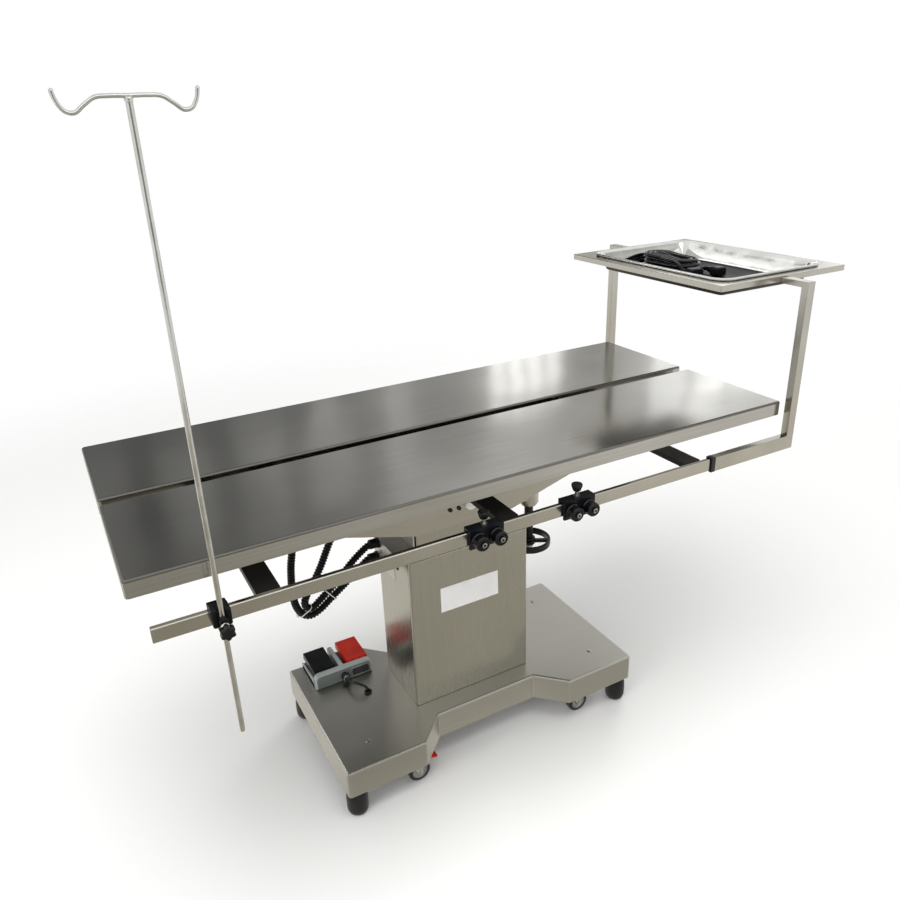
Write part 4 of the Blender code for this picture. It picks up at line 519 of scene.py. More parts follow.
def hank_route():
    """Layers that spiral in and out in turn, each climbing to the next over half a turn."""
    per_turn = 22
    low = TRAY_INSIDE + LEAD_R
    socket_z = TRAY_INSIDE + SOCKET_MIDDLE
    plug_z = TRAY_INSIDE + PLUG_MIDDLE
    first = [
        (-SOCKET_AT, LEAD_OUT, socket_z), (-SOCKET_AT + 0.008, LEAD_OUT, socket_z),
        (-SOCKET_AT + 0.018, LEAD_OUT, socket_z * 0.6 + low * 0.4), (-LEAD_HALF_RUN - 0.012, LEAD_OUT, low),
    ]
    stretches = [np.array(first)]
    turn = 0.0
    for layer in range(LEAD_LAYERS):
        steps = LEAD_TURNS * per_turn
        k = np.arange(steps + 1)
        ends = (LEAD_OUT, LEAD_IN) if layer % 2 == 0 else (LEAD_IN, LEAD_OUT)
        width = np.linspace(*ends, steps + 1)
        u, v = hank_loop(turn + k / per_turn, width)
        z = low + layer * LEAD_LAYER
        stretches.append(np.column_stack([u, v, np.full(len(u), z)]))
        turn += LEAD_TURNS
        if layer < LEAD_LAYERS - 1:
            k = np.arange(1, per_turn // 2)
            u, v = hank_loop(turn + k / per_turn, np.full(len(k), ends[1]))
            rise = LEAD_LAYER * (1 - np.cos(2 * np.pi * k / per_turn)) / 2
            stretches.append(np.column_stack([u, v, z + rise]))
            turn += 0.5
    onward = np.arange(1, 7) / 6 * 2 * LEAD_HALF_RUN
    half_turn = 2 * LEAD_HALF_RUN + np.pi * LEAD_OUT
    u = LEAD_HALF_RUN - onward
    v = -(LEAD_OUT + LEAD_STEP * 0.5 * onward / half_turn) * pinch(u)
    stretches.append(np.column_stack([u, v, np.full(len(u), z)]))
    side = -(LEAD_OUT + LEAD_STEP * LEAD_HALF_RUN / half_turn)
    last = [
        (-0.062, side, z), (-0.078, side, z * 0.72 + plug_z * 0.28),
        (-0.09, side, z * 0.18 + plug_z * 0.82), (-PLUG_AT + 0.0077, side, plug_z), (-PLUG_AT, side, plug_z),
    ]
    stretches.append(np.array(last))
    u, v, z = np.vstack(stretches).T
    x = LEAD_PLACE[0] + u * math.sin(LEAD_TURN) + v * math.cos(LEAD_TURN)
    y = LEAD_PLACE[1] + u * math.cos(LEAD_TURN) - v * math.sin(LEAD_TURN)
    return np.stack([x, y, z], axis=1)


def make_mains_lead():
    """A 3.4 m PVC lead, with a ribbed sleeve where it enters its plug and its connector."""
    path = smooth_route(hank_route(), 0.0015)
    rows = carried(path, LEAD_R, 14, UP)
    lead = piece("lead_hank", "tray", (rows, LEAD_PVC), slot="black_plastic", stands_for="mains_lead")
    for name, end in (("connector_sleeve", path), ("plug_sleeve", path[::-1])):
        short = end[:17]
        taper = np.linspace(0, 1, len(short))
        groove = np.arange(len(short)) % 4 >= 2
        rows = carried(short, 0.0052 - 0.0012 * taper - 0.0003 * groove, 16, UP)
        piece(name, "tray", (rows, BLACK_ABS), slot="black_plastic")


def hose_route(gland, end, low, shape):
    """Each shape point is a share of the way across to the end, and one of the way down to low."""
    gland, end = np.array(gland), np.array(end)
    across, down = np.array(shape).T / 1000
    lean = np.arange(1, len(shape) + 1) / (len(shape) + 1)
    x = gland[0] + across * (end[0] - gland[0])
    y = gland[1] + lean * (end[1] - gland[1])
    z = gland[2] - down * (gland[2] - low)
    straight = (x[-1] + 0.6 * (end[0] - x[-1]), end[1], end[2])
    return smooth_route(np.vstack([gland, np.stack([x, y, z], axis=1), straight, end]), HOSE_RIB / 8)


# Shapes of the hoses, in thousandths of the way across and of the way down
OUTER_HOSE = (
    (0, 100), (-4, 260), (-22, 410), (-52, 520), (-67, 630), (-74, 730), (-65, 820),
    (-48, 880), (-13, 935), (52, 985), (120, 1000), (180, 993), (255, 970), (340, 932),
    (421, 895), (520, 852), (619, 808), (720, 761),
)
INNER_HOSE = (
    (0, 80), (-60, 170), (-190, 280), (-363, 390), (-565, 510), (-722, 610), (-925, 720),
    (-1112, 810), (-1255, 876), (-1309, 927), (-1276, 972), (-1175, 1000), (-1049, 992), (-914, 965),
    (-760, 932), (-520, 880), (-217, 806), (39, 735), (369, 655),
)


def make_hoses():
    """Two corrugated hoses: the radius goes from root to crest as a flattened cosine of length."""
    bend = ("lift", "tilt", (-0.152 + HOME[0], 0.05, 0.47), (-0.33 + HOME[0], 0.05, 0.64))
    routes = (
        ("a", (-0.33, 0.012, HOSE_TOP), (HOSE_END_X, 0.028, 0.454), 0.272, OUTER_HOSE),
        ("b", (-0.226, 0.004, HOSE_TOP), (HOSE_END_X, 0.018, 0.4925), 0.2495, INNER_HOSE),
    )
    collar = [(8.5, -20), (10.2, -19), (10.2, -4), (11.8, -3), (11.8, 0)]
    paths = []
    for letter, gland, end, drop, shape in routes:
        path = hose_route(gland, end, HOSE_TOP - drop, shape)
        wave = np.tanh(2.0 * np.cos(2 * np.pi * np.arange(len(path)) / 8)) / np.tanh(2.0)
        radii = (HOSE_R + HOSE_ROOT_R) / 2 + wave * (HOSE_R - HOSE_ROOT_R) / 2
        hose = piece(
            f"ribbed_hose_{letter}", None, (carried(path, radii, 20, DEEP), HOSE_POLYAMIDE),
            slot="black_plastic", stands_for=f"hose_{letter}", blend=bend,
        )
        rows = turned(collar, end, "X", 24)
        piece(f"hose_collar_{letter}", "lift", (rows, BLACK_ABS), slot="black_plastic")
        paths.append(path)
    return paths, bend


def make_hose_ties(paths, bend):
    """A nylon tie is a band round both hoses: two half circles joined by straight sides."""
    lift = np.array((0.0003, 0.0012, 0.0012, 0.0003))
    half = np.array((-1, -1, 1, 1)) * 0.0009
    for number, share in enumerate((0.56, 0.735), 1):
        k = int(share * len(paths[0]))
        a = paths[0][k]
        b = paths[1][np.linalg.norm(paths[1] - a, axis=1).argmin()]
        along = paths[0][k + 4] - paths[0][k - 4]
        along /= np.linalg.norm(along)
        toward = b - a
        toward -= along * (toward @ along)
        toward /= np.linalg.norm(toward)
        other = np.cross(along, toward)
        t = np.linspace(-np.pi / 2, np.pi / 2, 13)
        out = np.concatenate([t, t + np.pi])
        middles = np.repeat([b, a], len(t), axis=0)
        away = np.cos(out)[:, None] * toward + np.sin(out)[:, None] * other
        rows = middles[:, None] + (HOSE_R + lift)[None, :, None] * away[:, None]
        rows = rows + half[None, :, None] * along
        head = plate(a - (HOSE_R + 0.001) * toward, along, other, 2.5, 3.2, 3.4, 0.6, 0.6)
        piece(f"hose_tie_{number}", None, (rows[:, ::-1], NYLON, True), (head, NYLON), blend=bend)


def make_switch_lead():
    """The foot switch's short lead, its boot, and the grommet in the base."""
    gland = np.array((-0.234, 0.066, SWITCH_FLOOR + 0.016))
    hole = np.array((-0.204, 0.0195, SWITCH_FLOOR))
    leaving_mm = np.array(((0, -0.3, 0), (0, -7, 0), (3, -17, 2), (11, -30, 4)))
    entering_mm = np.array(((-9, 6, 18), (-2, 1, 12.5), (0, 0, 6), (0, 0, 0)))
    path = smooth_route(np.vstack([gland + leaving_mm / 1000, hole + entering_mm / 1000]), 0.001)
    boot = [(3.4, -12), (4.4, -8), (5.8, -1), (5.8, 2), (8, 3), (9.2, 5), (9.2, 12), (8, 16)]
    collar = [(6, 0.5), (7.6, 1), (7.6, 3.2), (6, 3.6)]
    boot = piece(
        "switch_boot", "table", (turned(boot, gland, "Y", 28), PHENOLIC),
        (turned(collar, gland, "Y", 28), ZINC, True), slot="black_plastic",
    )
    t = np.linspace(0, 2 * np.pi, 16, endpoint=False)
    ring = np.stack([6.2 + 2.4 * np.cos(t), 2.2 + 2.2 * np.sin(t)], axis=1)
    rows = turned(ring, hole, "Z", 32)
    grommet = piece("lead_grommet", "table", (rows, RUBBER, True), slot="black_rubber")
    rows = carried(path, 0.003, 16, ALONG)
    lead = piece("switch_cable", "table", (rows, LEAD_PVC), slot="black_rubber", stands_for="switch_lead")


def make_tray():
    """A pressed tray with a rolled rim.

    Loops of a rounded rectangle follow its section, as (inset from the rim's edge, height): under
    the floor, round the lower bend, up the wall, round the bead at the edge, over the rim's
    shallow valley, and down inside.
    """
    wall_mm, foot, sheet, bead, bend = 15, 0.025, 0.0015, 0.00285, 0.007
    half_x, half_y, corner, least_corner = 0.15, 0.21, 0.038, 0.006
    inner = bend - sheet
    t = np.linspace(0, np.pi / 2, 6)
    roll = np.radians(np.linspace(-40, -270, 14))
    outside = np.stack([foot + bend - bend * np.sin(t), TRAY_FLOOR + bend - bend * np.cos(t)], axis=1)
    under_mm = ((wall_mm + 0.6, -8), (wall_mm - 0.6, -5.6), (12.2, -4.2), (9, -3.4))
    edge = np.stack([bead + bead * np.cos(roll), TRAY_RIM - bead + bead * np.sin(roll)], axis=1)
    over_mm = ((5.2, -1), (8.8, -1.9), (12.4, -2.4), (wall_mm + 0.4, -4), (wall_mm + 1.8, -7.6))
    inside_x = foot + sheet + inner - inner * np.cos(t)
    inside = np.stack([inside_x, TRAY_FLOOR + bend - inner * np.sin(t)], axis=1)
    under, over = (np.array(sizes) / 1000 + (0, TRAY_RIM) for sizes in (under_mm, over_mm))
    rows = []
    for inset, height in np.vstack([outside, under, edge, over, inside]):
        flat = rounded(half_x - inset, half_y - inset, max(corner - inset, least_corner), 8)
        rows.append(np.column_stack([flat + TRAY_PLACE, np.full(len(flat), height)]))
    part = (np.array(rows), TRAY_STEEL)
    made = piece("pressed_tray", "tray", part, slot="stainless", stands_for="tray")
    around, first_bright, last = len(flat), len(outside) + 2, len(rows) - 1
    bright, floor_shade, underside_shade = range(3)
    finish = np.full(len(made.data.polygons), bright)
    # The outside below the wall takes a darker brownish steel: painted shade
    finish[: first_bright * around] = underside_shade
    finish[-2], finish[-1] = underside_shade, floor_shade
    # The inner floor takes a dark steel: painted shade
    finish[(last - 2) * around : last * around] = floor_shade
    for extra in (TRAY_FLOOR_SHADE, TRAY_UNDERSIDE_SHADE):
        made.data.materials.append(extra)
    made.data.polygons.foreach_set("material_index", finish)


def domed(path, radius):
    """The radius along a rod whose two ends are rounded off as half spheres."""
    along = lengths(path)
    near = np.clip(np.minimum(along, along[-1] - along) / radius, 0, 1)
    return radius * np.maximum(np.sqrt(1 - (1 - near) ** 2), 0.25)


def make_pole():
    """A circle carried up the pole, a thinner one along both hooks, their weld, and the clamp's knob."""
    x, y = POLE
    rod, hook = 0.004, 0.0025
    end = POLE_LOW + 0.0006 * np.arange(7)
    heights = np.concatenate([end, np.linspace(POLE_LOW + 0.02, POLE_TOP, 60)])
    path = np.column_stack([np.broadcast_to(POLE, (len(heights), 2)), heights])
    radii = np.where(np.arange(len(heights)) < len(heights) // 2, domed(path, rod), rod)
    half_mm = ((0, 0), (20, 0.3), (35, -1), (47, -8.5), (57, -15.5), (66, -14), (73, -4), (76, 9))
    half = np.array(half_mm) / 1000
    route = [(x - a, y, POLE_TOP + b) for a, b in half[:0:-1]] + [(x + a, y, POLE_TOP + b) for a, b in half]
    hooks = smooth_route(route, 0.0012)
    weld = [(4, -7.5), (4.7, -5), (5, -2.8), (4.2, -1), (2.6, 0)]
    piece(
        "pole_rod", "iv_pole", (carried(path, radii, 24, DEEP), POLE_STEEL),
        (carried(hooks, domed(hooks, hook), 16, DEEP), POLE_STEEL),
        (turned(weld, (x, y, POLE_TOP), "Z", 24), POLE_STEEL), slot="chrome", stands_for="iv_pole",
    )
    knob = [(3, -13.7), (7.4, -14), (9.2, -13.6), (10.2, -12.5), (10.5, -11), (10.5, -2.5)]
    knob += [(10.1, -1), (8.8, 0), (4, 0)]
    collar = [(5.2, -2), (7.4, 0), (7.4, 5.8), (4, 5.8)]
    stem = [(3, -1), (3, 12.6)]
    piece(
        "clamp_knob", "iv_knob", (turned(knob, KNOB, "Y", 60, 6, 0.13), PHENOLIC),
        (turned(collar, KNOB, "Y", 24), NYLON), (turned(stem, KNOB, "Y", 20), ZINC),
        slot="black_plastic", stands_for="iv_knob",
    )


def make_clamp():
    """The pole's moulded clamp: plates for cheeks, web and neck at the pole, and a hook on the rail."""
    x, rail_front, rail_top, rail_back = POLE[0], -0.298, 0.6535, -0.2878
    blocks = (
        plate((x - 0.0095, rail_front, 0.6515), ALONG, UP, 4.8, 15.5, 23, 3.5, 2.2),
        plate((x + 0.0095, rail_front, 0.6505), ALONG, UP, 4.5, 14.5, 23, 3.5, 2.2),
        plate((x, rail_front, 0.646), ALONG, UP, 5, 12, 18, 1, 1),
        plate((x, rail_front, 0.6385), ALONG, UP, 6.2, 16.5, 34, 2.5, 2.2),
        plate((x, -RAIL_Y, rail_top), ALONG, DEEP, 14, 11.5, 6.5, 2, 1.8),
        plate((x, rail_back, 0.6465), -ALONG, UP, 14, 13.5, 6.3, 2, 1.8),
    )
    parts = [(rows, BLACK_ABS) for rows in blocks]
    piece("moulded_clamp", "iv_clamp", *parts, slot="black_plastic", stands_for="iv_clamp")


def make_casting():
    """The foot switch's casting: plates for a leaning wall, a floor and a web, and two low sides."""
    x, y, z = -0.2345, 0.1375, SWITCH_FLOOR
    slope = np.array((0, 1, -0.068)) / math.hypot(1, 0.068)
    wall = plate((x, 0.095, z + 0.017), ALONG, SWITCH_LEAN, 67.5, 17.2, 12.5, (11, 0.5), 2.8)
    floor = plate((x, y, z), ALONG, DEEP, 67.5, 43.5, 8.5, 3, 1)
    # A black pan on the floor between the web and the walls: painted shade in the gaps
    inside = plate((x, y, z + 0.008), ALONG, DEEP, 64, 40, 1, 1, 0.3)
    web = plate((x, y - 0.001, z + 0.0075), ALONG, slope, 5.6, 44, 24, 5, 2.4)
    # A thin darker plate over the front of the wall: painted shade
    face = plate((x, 0.0826, z + 0.0168), ALONG, SWITCH_LEAN, 64, 13.6, 0.5, (8.5, 0.8), 0.2)
    parts = [(wall, GREY_CAST), (floor, GREY_CAST), (inside, BLACK_COAT_AND_SHADE)]
    parts += [(web, GREY_CAST), (face, GREY_FACE_SHADE)]
    side = np.array(((0.092, 0.0), (0.181, 0.0), (0.181, 0.0095), (0.112, 0.0205), (0.092, 0.0225)))
    for start in (x - 0.0675, x + 0.0645):
        rows = [np.column_stack([np.full(len(side), at), side + (0, z)]) for at in (start, start + 0.003)]
        parts.append((np.array(rows), GREY_CAST))
    piece("switch_casting", "table", *parts, slot="grey_paint", stands_for="switch_housing")


def make_handwheel():
    """A moulded rim of rounded section, three flat spokes, a turned hub, and a nut below it."""
    rim = rounded(3.5, 8, 3.3, 6) + (46.5, 0)
    hub = [(7.2, -7), (13.5, -7), (15, -5.5), (15, 8), (13.8, 9.8), (7.2, 10)]
    nut = [(7.2, -14.5), (9.2, -14.5), (10.4, -13.5), (10.4, -8.2), (9.2, -7), (7.2, -7)]
    spokes = []
    for turn in np.radians((90, 210, 330)):
        out = np.array((math.cos(turn), math.sin(turn), 0))
        aside = np.array((-out[1], out[0], 0))
        rows = plate(HANDWHEEL + 0.029 * out - 0.003 * UP, out, aside, 16.5, 6, 6, 1, 2.2)
        spokes.append((rows, PHENOLIC))
    piece(
        "rim_handwheel", "screw", (turned(rim, HANDWHEEL, "Z", 72), PHENOLIC, True),
        (turned(hub, HANDWHEEL, "Z"), PHENOLIC, True),
        (turned(nut, HANDWHEEL, "Z", 48, 6, 0.05), ZINC, True), *spokes, slot="black_plastic",
        stands_for="handwheel",
    )


def socket_head(centre, axis, radius, high, depth):
    """A screw head, in mm, that rises against its axis: a six-sided recess waves its radius by 7%."""
    floor = depth - high
    recess = [(radius * 0.1, floor), (radius * 0.5, floor), (radius * 0.52, -high)]
    rim = [(radius * 0.8, -high), (radius * 0.95, radius * 0.08 - high)]
    rim += [(radius, radius * 0.25 - high), (radius, 0)]
    return np.concatenate([turned(recess, centre, axis, 48, 6, 0.07), turned(rim, centre, axis, 48)])


def make_leash_wheels():
    """Turned profiles: moulded rollers, the screws on their pins, and thumb screws with 24 ridges."""
    front, screw_seat, half_gap = -0.3236, -0.324, 0.018
    roller = [(3.4, 0), (8.2, 0), (8.8, 0.8), (9.8, 0.8), (10.4, 0), (11.2, 0), (12.4, 0.6), (13.1, 1.8)]
    roller += [(13.3, 3.4), (13.3, 14.4), (13.9, 15), (14.7, 15.6), (15, 16.6), (14.8, 18)]
    roller += [(14, 19), (3.4, 19)]
    grip = [(4.5, 0), (6.2, 0), (6.9, 0.8), (7.7, 3.2), (9.6, 8.6), (10, 10.6), (10, 12.4)]
    grip += [(9.4, 13.6), (5.6, 14), (1, 13.8)]
    stem = [(3.4, -16.6), (3.4, 0.5)]
    washer = [(3.2, -10.8), (6.6, -10.8), (6.6, -8.8), (3.2, -8.8)]
    for number, x in enumerate(LEASH_X, 1):
        for which, at in ((2 * number - 1, x - half_gap), (2 * number, x + half_gap)):
            piece(
                f"leash_wheel_{which}", f"roller_{which}",
                (turned(roller, (at, front, ROLLER_Z), "Y", 48), PHENOLIC, True), slot="black_rubber",
                stands_for=f"leash_roller_{which}",
            )
            head = socket_head((at, screw_seat, ROLLER_Z), "Y", 4.8, 2.8, 0.8)
            piece(f"wheel_screw_{which}", f"leash_{number}", (head, ZINC), slot="chrome")
        centre = (x, -RAIL_Y, THUMB_Z)
        piece(
            f"thumb_grip_{number}", f"thumb_{number}",
            (turned(grip, centre, "Z", 96, 24, 0.028), PHENOLIC), (turned(stem, centre, "Z", 20), ZINC),
            (turned(washer, centre, "Z", 24), ZINC, True), slot="black_plastic",
            stands_for=f"leash_thumb_{number}",
        )


def make_feet_and_wheels():
    """Rubber feet turned from one profile, on zinc studs with a locknut, and tyred castor wheels."""
    foot = [(10, 0), (14.2, 0.4), (17.8, 2.6), (20, 6.2), (21.7, 11), (22.4, 17), (22.5, 26)]
    foot += [(22.3, 40), (21.9, 46), (20.7, 53), (19.5, 56.6), (18, 58), (6.2, 58)]
    stud = [(6, 57.5), (6, 109.4)]
    nut = [(6.2, 58.1), (8.6, 58.1), (9.4, 59), (9.4, 65.5), (8.6, 66.4), (6.2, 66.4)]
    radius, half, shoulder = 25, 9, 4
    t = np.linspace(-np.pi / 2, np.pi / 2, 7)
    tread = np.sign(t) * (half - shoulder) + shoulder * np.sin(t)
    tread = np.stack([radius - shoulder + shoulder * np.cos(t), tread], axis=1)
    tyre = np.vstack([[(17.2, -half)], tread, [(17.2, half)]])
    hub = [(4.4, -8.8), (8, -8.8), (8.8, -7), (15, -6.2), (17.3, -8.2)]
    hub += [(out, -along) for out, along in hub[::-1]]
    corners = [(side_x, side_y) for side_y in (-1, 1) for side_x in (-1, 1)]
    for number, (side_x, side_y) in enumerate(corners, 1):
        centre = (BASE_X + side_x * 0.332, side_y * 0.16, 0)
        piece(
            f"foot_pad_{number}", "table", (turned(foot, centre, "Z", 48), RUBBER),
            (turned(stud, centre, "Z", 24), ZINC), (turned(nut, centre, "Z", 48, 6, 0.05), ZINC, True),
            slot="black_rubber", stands_for=f"foot_{number}",
        )
        centre = (BASE_X + side_x * 0.207 + 0.018, side_y * 0.15, 0.028)
        piece(
            f"castor_tyre_{number}", f"wheel_{number}", (turned(tyre, centre, "Y", 56), RUBBER, True),
            (turned(hub, centre, "Y"), GREY_NYLON, True), slot="black_rubber",
            stands_for=f"caster_wheel_{number}",
        )


def make_fittings():
    """Small fittings on the sheet metal: blank plates, screw heads, caps, flaps and sleeves."""
    blank = plate((0.0085, COLUMN_FRONT, 0.3715), ALONG, UP, 69.5, 29.5, 0.5, 1, 0.2)
    piece("blank_label", "table", (blank, LABEL_FILM))

    middle = (-0.195, 0.0825, 0.1395)
    rim = plate(middle, ALONG, SWITCH_LEAN, 21.5, 11, 1, 1.2, 0.3)
    face = plate(middle, ALONG, SWITCH_LEAN, 19.5, 9, 1.4, 0.8, 0.3)
    piece("switch_blank_plate", "table", (rim, ZINC), (face, BLANK_PLATE), slot="steel")

    cap = [(2, -96.2), (8, -95.8), (11.2, -94.8), (13.2, -93), (14, -90.5), (14, -86.6)]
    piece("pivot_cap_front", "tilt", (turned(cap, PIVOT, "Y"), NYLON))
    mirrored = [(radius, -place) for radius, place in cap]
    piece("pivot_cap_back", "tilt", (turned(mirrored, PIVOT, "Y")[:, ::-1], NYLON))

    places = ((-0.035, -0.086, 0.581), (-0.015, -0.086, 0.58))
    bolts = [(socket_head(place, "Y", 4.3, 4, 2), DARK_STEEL) for place in places]
    piece("hull_bolts", "tilt", *bolts, slot="dark_steel")

    seat = (COLUMN_X - COLUMN_HALF + 0.0004, -0.023, 0.444)
    side = socket_head(seat, "X", 4.2, 2, 1)
    piece("cover_screw", "table", (side, DARK_STEEL), slot="dark_steel")

    head = [(5.6, -0.3), (5.5, 0.4), (4.6, 1), (2.8, 1.5), (0.6, 1.7)]
    places = [(x, y, BASE_TOP) for x in (BASE_X - 0.283, BASE_X + 0.283) for y in (-0.119, 0.119)]
    heads = [(turned(head, place, "Z", 32), ZINC) for place in places]
    piece("base_screws", "table", *heads, slot="steel")

    sleeve_mm = ((444, 6, 13.4), (444, 7.8, 14.8), (444.6, 8.3, 15.3))
    sleeve_mm += ((454, 8.3, 15.3), (454.4, 8.1, 15.1), (454.4, 6, 13.4))
    for name, side in (("front", -1), ("back", 1)):
        places = [(x, side * 0.04, 0.7058) for x in HINGES]
        flaps = [(plate(place, -side * ALONG, UP, 24, 21.6, 1.5, 1, 0.3), RUBBER) for place in places]
        piece(f"hinge_baffles_{name}", name, *flaps, slot="black_rubber")
        loops = []
        for x, half_y, half_z in sleeve_mm:
            flat = rounded(half_y, half_z, 1.2) / 1000 + (side * RAIL_Y, RAIL_Z)
            loops.append(np.column_stack([np.full(len(flat), x / 1000), flat]))
        piece(f"leg_sleeve_{name}", "tray_holder", (np.array(loops), RUBBER, True), slot="black_rubber")


def make_camera():
    """The photograph's camera: 23.5 degrees down, 27.9 degrees to the left, rolled by 2.1."""
    turn, down, roll = math.radians(-27.9), math.radians(23.48), -0.037
    z = np.array((math.sin(turn) * math.cos(down), -math.cos(turn) * math.cos(down), math.sin(down)))
    x = np.cross(UP, z)
    x /= np.linalg.norm(x)
    y = np.cross(z, x)
    x, y = math.cos(roll) * x + math.sin(roll) * y, math.cos(roll) * y - math.sin(roll) * x
    matrix = Matrix(np.column_stack([x, y, z]).tolist()).to_4x4()
    matrix.translation = Vector((-0.775, -1.2891, 1.3093))
    data = bpy.data.cameras.new("photo_camera")
    data.sensor_width, data.lens = 36.0, 31.47
    data.shift_x, data.shift_y = -0.0031, 0.0014
    camera = placed("photo_camera", data)
    camera.matrix_world = matrix
    bpy.context.scene.camera = camera


def staged(name, points, faces, finish):
    """A mesh of the studio, which is no part of the table."""
    mesh = bpy.data.meshes.new(name)
    mesh.from_pydata(points.tolist(), [], faces)
    mesh.materials.append(finish)
    made = placed(name, mesh)
    return made


def make_floor():
    """A pale floor that thins out to nothing between 1.6 and 3.4 m from the table.

    Bare metal mirrors it as a plain warm grey in front of the table, darker at the left, and
    lighter behind and at the right.
    """
    made, tree, shader, place = new_material("pale_floor")
    far = add(tree, "VectorMath", {0: place}, operation="LENGTH").outputs["Value"]
    limits = {"Value": far, "From Min": 1.6, "From Max": 3.4}
    gone = add(tree, "MapRange", limits, interpolation_type="SMOOTHSTEP")
    seen = add(tree, "MixShader", {0: gone, 1: shader, 2: add(tree, "BsdfTransparent")})
    parts = add(tree, "SeparateXYZ", {"Vector": place}).outputs
    lighter = 0.0
    for way, low, high, most in (("X", -0.6, 0.1, 0.25), ("Y", -0.3, 0.05, 1.0), ("X", 0.2, 1.1, 1.0)):
        limits = {"Value": parts[way], "From Min": low, "From Max": high, "To Max": most}
        level = add(tree, "MapRange", limits)
        lighter = add(tree, "Math", {0: lighter, 1: level}, operation="MAXIMUM")
    shade = add(tree, "ValToRGB", {"Fac": lighter})
    shade.color_ramp.elements[0].color = linear("#AFAA9E")
    shade.color_ramp.elements[1].color = linear("#EFEBE3")
    shade.color_ramp.elements.new(0.25).color = linear("#C8C4B9")
    glossy = add(tree, "LightPath").outputs["Is Glossy Ray"]
    both = add(tree, "MixShader", {0: glossy, 1: seen, 2: add(tree, "Emission", {"Color": shade})})
    feed(tree.nodes["Material Output"], {"Surface": both})
    feed(shader, {"Base Color": linear("#F8F8F6"), "Roughness": 0.9})
    radius, just_under = 3.5, -0.0005
    t = np.linspace(0, 2 * np.pi, 64, endpoint=False)
    ring = np.stack([radius * np.cos(t), radius * np.sin(t), np.full(len(t), just_under)], axis=1)
    staged("floor", ring, [list(range(len(t)))], made)


def make_world():
    """White for the camera and for reflections, and a plain level of fill for everything else."""
    world = bpy.data.worlds.new("studio")
    bpy.context.scene.world = world
    world.use_nodes = True
    tree = world.node_tree
    path = add(tree, "LightPath").outputs
    seen = path["Is Camera Ray"]
    for kind in ("Is Glossy Ray", "Is Transmission Ray"):
        seen = add(tree, "Math", {0: seen, 1: path[kind]}, operation="MAXIMUM")
    level = add(tree, "MapRange", {"Value": seen, "To Min": 0.6, "To Max": 1.0})
    feed(tree.nodes["Background"], {"Color": (1, 1, 1, 1), "Strength": level})


def lamp(name, place, aim, size, power):
    """A soft box aimed at a point. Metal mirrors the cards instead of it."""
    data = bpy.data.lights.new(name, "AREA")
    data.shape = "RECTANGLE"
    data.size, data.size_y = size
    data.energy = power
    made = placed(name, data)
    made.location = place
    made.rotation_mode = "QUATERNION"
    made.rotation_quaternion = (Vector(aim) - Vector(place)).to_track_quat("-Z", "Y")
    made.visible_camera = made.visible_glossy = False


def panes(x, z, columns, rows, bar):
    """A window as a grid of panes with bars between them: low and high corners in X and Z."""
    x, z = np.linspace(*x, columns + 1), np.linspace(*z, rows + 1)
    low = np.stack(np.meshgrid(x[:-1], z[:-1], indexing="ij"), axis=-1).reshape(-1, 2) + bar / 2
    high = np.stack(np.meshgrid(x[1:], z[1:], indexing="ij"), axis=-1).reshape(-1, 2) - bar / 2
    return low, high


def card(name, low, high, y, shades, strength=1.0):
    """Upright studio cards, seen in reflections alone, that give the bare steel something to mirror.

    The shades are (X, colour) along the card, broken up by broad soft clouds.
    """
    low, high = np.atleast_2d(low), np.atleast_2d(high)
    finish, tree, _, place = new_material(name)
    across = add(tree, "SeparateXYZ", {"Vector": place}).outputs["X"]
    first, last = shades[0][0], shades[-1][0]
    limits = {"Value": across, "From Min": first, "From Max": last}
    ramp = add(tree, "ValToRGB", {"Fac": add(tree, "MapRange", limits)})
    stops = ramp.color_ramp.elements
    for index, (x, shade) in enumerate(shades):
        at = (x - first) / (last - first)
        stop = stops[index] if index < 2 else stops.new(at)
        stop.position = at
        stop.color = linear(shade)
    clouds = add(tree, "TexNoise", {"Vector": place, "Scale": 1.6, "Detail": 1.0})
    limits = {"Value": clouds, "From Min": 0.3, "From Max": 0.7, "To Min": 0.66, "To Max": 1.3}
    power = add(tree, "Math", {0: add(tree, "MapRange", limits), 1: strength}, operation="MULTIPLY")
    glow = add(tree, "Emission", {"Color": ramp, "Strength": power})
    feed(tree.nodes["Material Output"], {"Surface": glow})
    x = np.stack([low[:, 0], high[:, 0], high[:, 0], low[:, 0]], axis=1)
    z = np.stack([low[:, 1], low[:, 1], high[:, 1], high[:, 1]], axis=1)
    points = np.stack([x, np.full(x.shape, y), z], axis=-1).reshape(-1, 3)
    made = staged(name, points, np.arange(len(points)).reshape(-1, 4).tolist(), finish)
    made.visible_camera = made.visible_diffuse = made.visible_shadow = made.visible_transmission = False


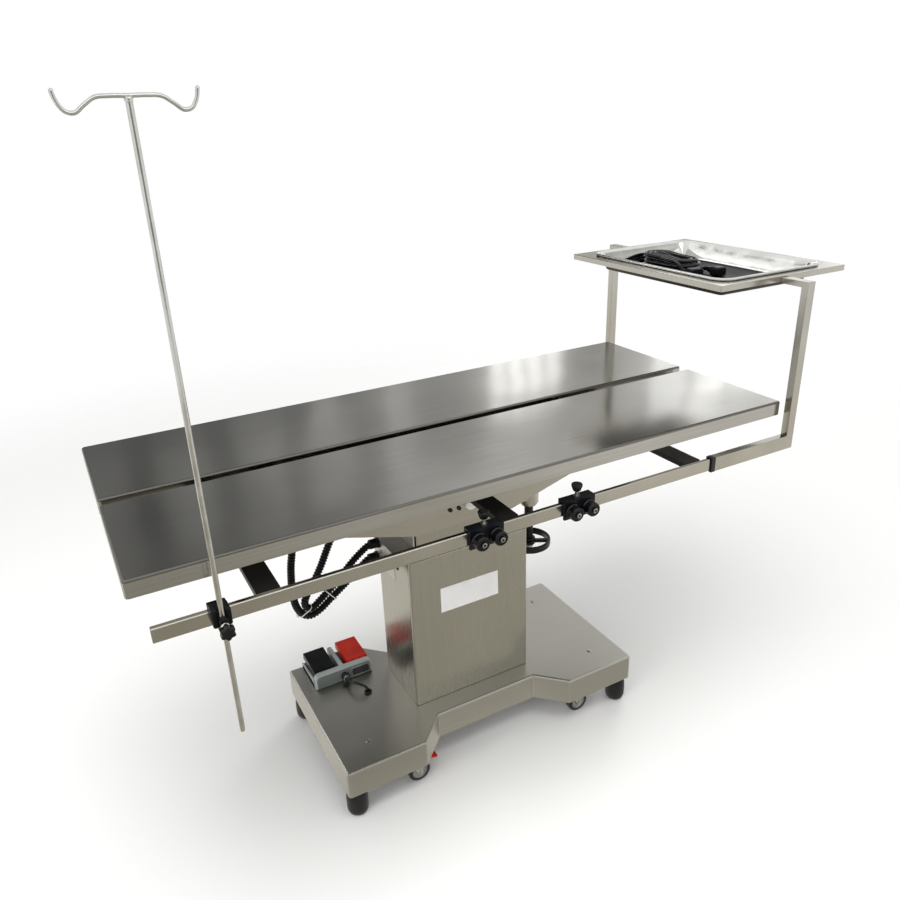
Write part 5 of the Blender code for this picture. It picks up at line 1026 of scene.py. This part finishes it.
def make_studio():
    """The floor, the light, and walls, windows and screens round the table for it to mirror."""
    make_floor()
    make_world()
    lamp("overhead_box", (-0.4, -0.6, 3.4), (0, 0, 0.5), (2.4, 2.0), 60)
    lamp("left_box", (-3.2, -1.2, 1.8), (0, 0, 0.5), (1.6, 1.8), 30)
    lamp("right_box", (3.4, 2.6, 2.2), (0.2, 0, 0.7), (1.8, 1.4), 45)
    lamp("front_box", (-1.4, -3.4, 1.9), (0, 0, 0.5), (1.8, 1.4), 18)
    left = [(-3.2, "#918F8B"), (-1.7, "#94928E"), (-1.1, "#757574"), (-0.45, "#656564")]
    left += [(0.45, "#80807F"), (0.85, "#979695"), (1.6, "#CFCECB")]
    right = [(1.6, "#CFCECB"), (2.9, "#C9C7C2"), (3.4, "#E6E6E4"), (5.8, "#F4F4F2")]
    faint = [(-0.9, "#737372"), (-0.45, "#777776"), (0.45, "#929291"), (0.95, "#A5A4A3")]
    dark = [(3.4, "#7E7E7C"), (4.7, "#8E8E8C")]
    white = [(0, "#FFFFFF"), (5, "#FFFFFF")]
    card("left_wall", (-3.2, 0.9), (1.6, 4.6), 3.2, left)
    card("right_wall", (1.6, 0.9), (5.8, 2.75), 3.2, right)
    card("upper_wall", (0.1, 2.95), (1.5, 4.4), 3.17, [(0.1, "#565654"), (1.5, "#5C5C5A")])
    card("tall_window", (1.09, 1.3), (1.29, 2.7), 3.14, white, 0.58)
    card("small_window", (0.6, 1.74), (0.76, 1.92), 3.14, white, 0.6)
    card("faint_windows", *panes((-0.9, 0.95), (1.75, 2.75), 4, 1, 0.16), 3.16, faint, 1.15)
    card("low_bench", (3.4, 1.0), (4.7, 1.72), 3.1, dark)
    card("left_window", *panes((-2.9, -1.3), (1.9, 3.4), 4, 1, 0.14), 3.15, white, 1.9)
    card("middle_window", *panes((1.86, 2.5), (1.42, 2.1), 4, 3, 0.04), 3.15, white, 1.9)
    card("right_window", *panes((3.32, 5.6), (1.8, 2.52), 5, 2, 0.09), 3.15, white, 2.2)
    card("key_window", *panes((-2.4, 1.6), (2.7, 4.4), 4, 2, 0.1), -3.2, white, 2.4)
    card("loft_window", *panes((-2.4, -0.9), (3.0, 4.5), 2, 2, 0.1), 3.1, white, 2.8)
    card("front_screen", (-3.4, 0.2), (0.9, 2.3), -4.2, [(-3.4, "#8F8A7E"), (0.9, "#A29D92")])
    side = [(3.2, "#F4F4F2"), (4.2, "#CFCFCB"), (5.6, "#858583")]
    card("side_screen", (3.2, 1.4), (5.6, 3.8), -3.2, side)


dress_nodes()
make_camera()
make_mains_lead()
hose_paths, hose_bend = make_hoses()
make_hose_ties(hose_paths, hose_bend)
make_switch_lead()
make_tray()
make_pole()
make_clamp()
make_casting()
make_handwheel()
make_leash_wheels()
make_feet_and_wheels()
make_fittings()
make_studio()

bpy.context.scene.view_settings.view_transform = "Standard"
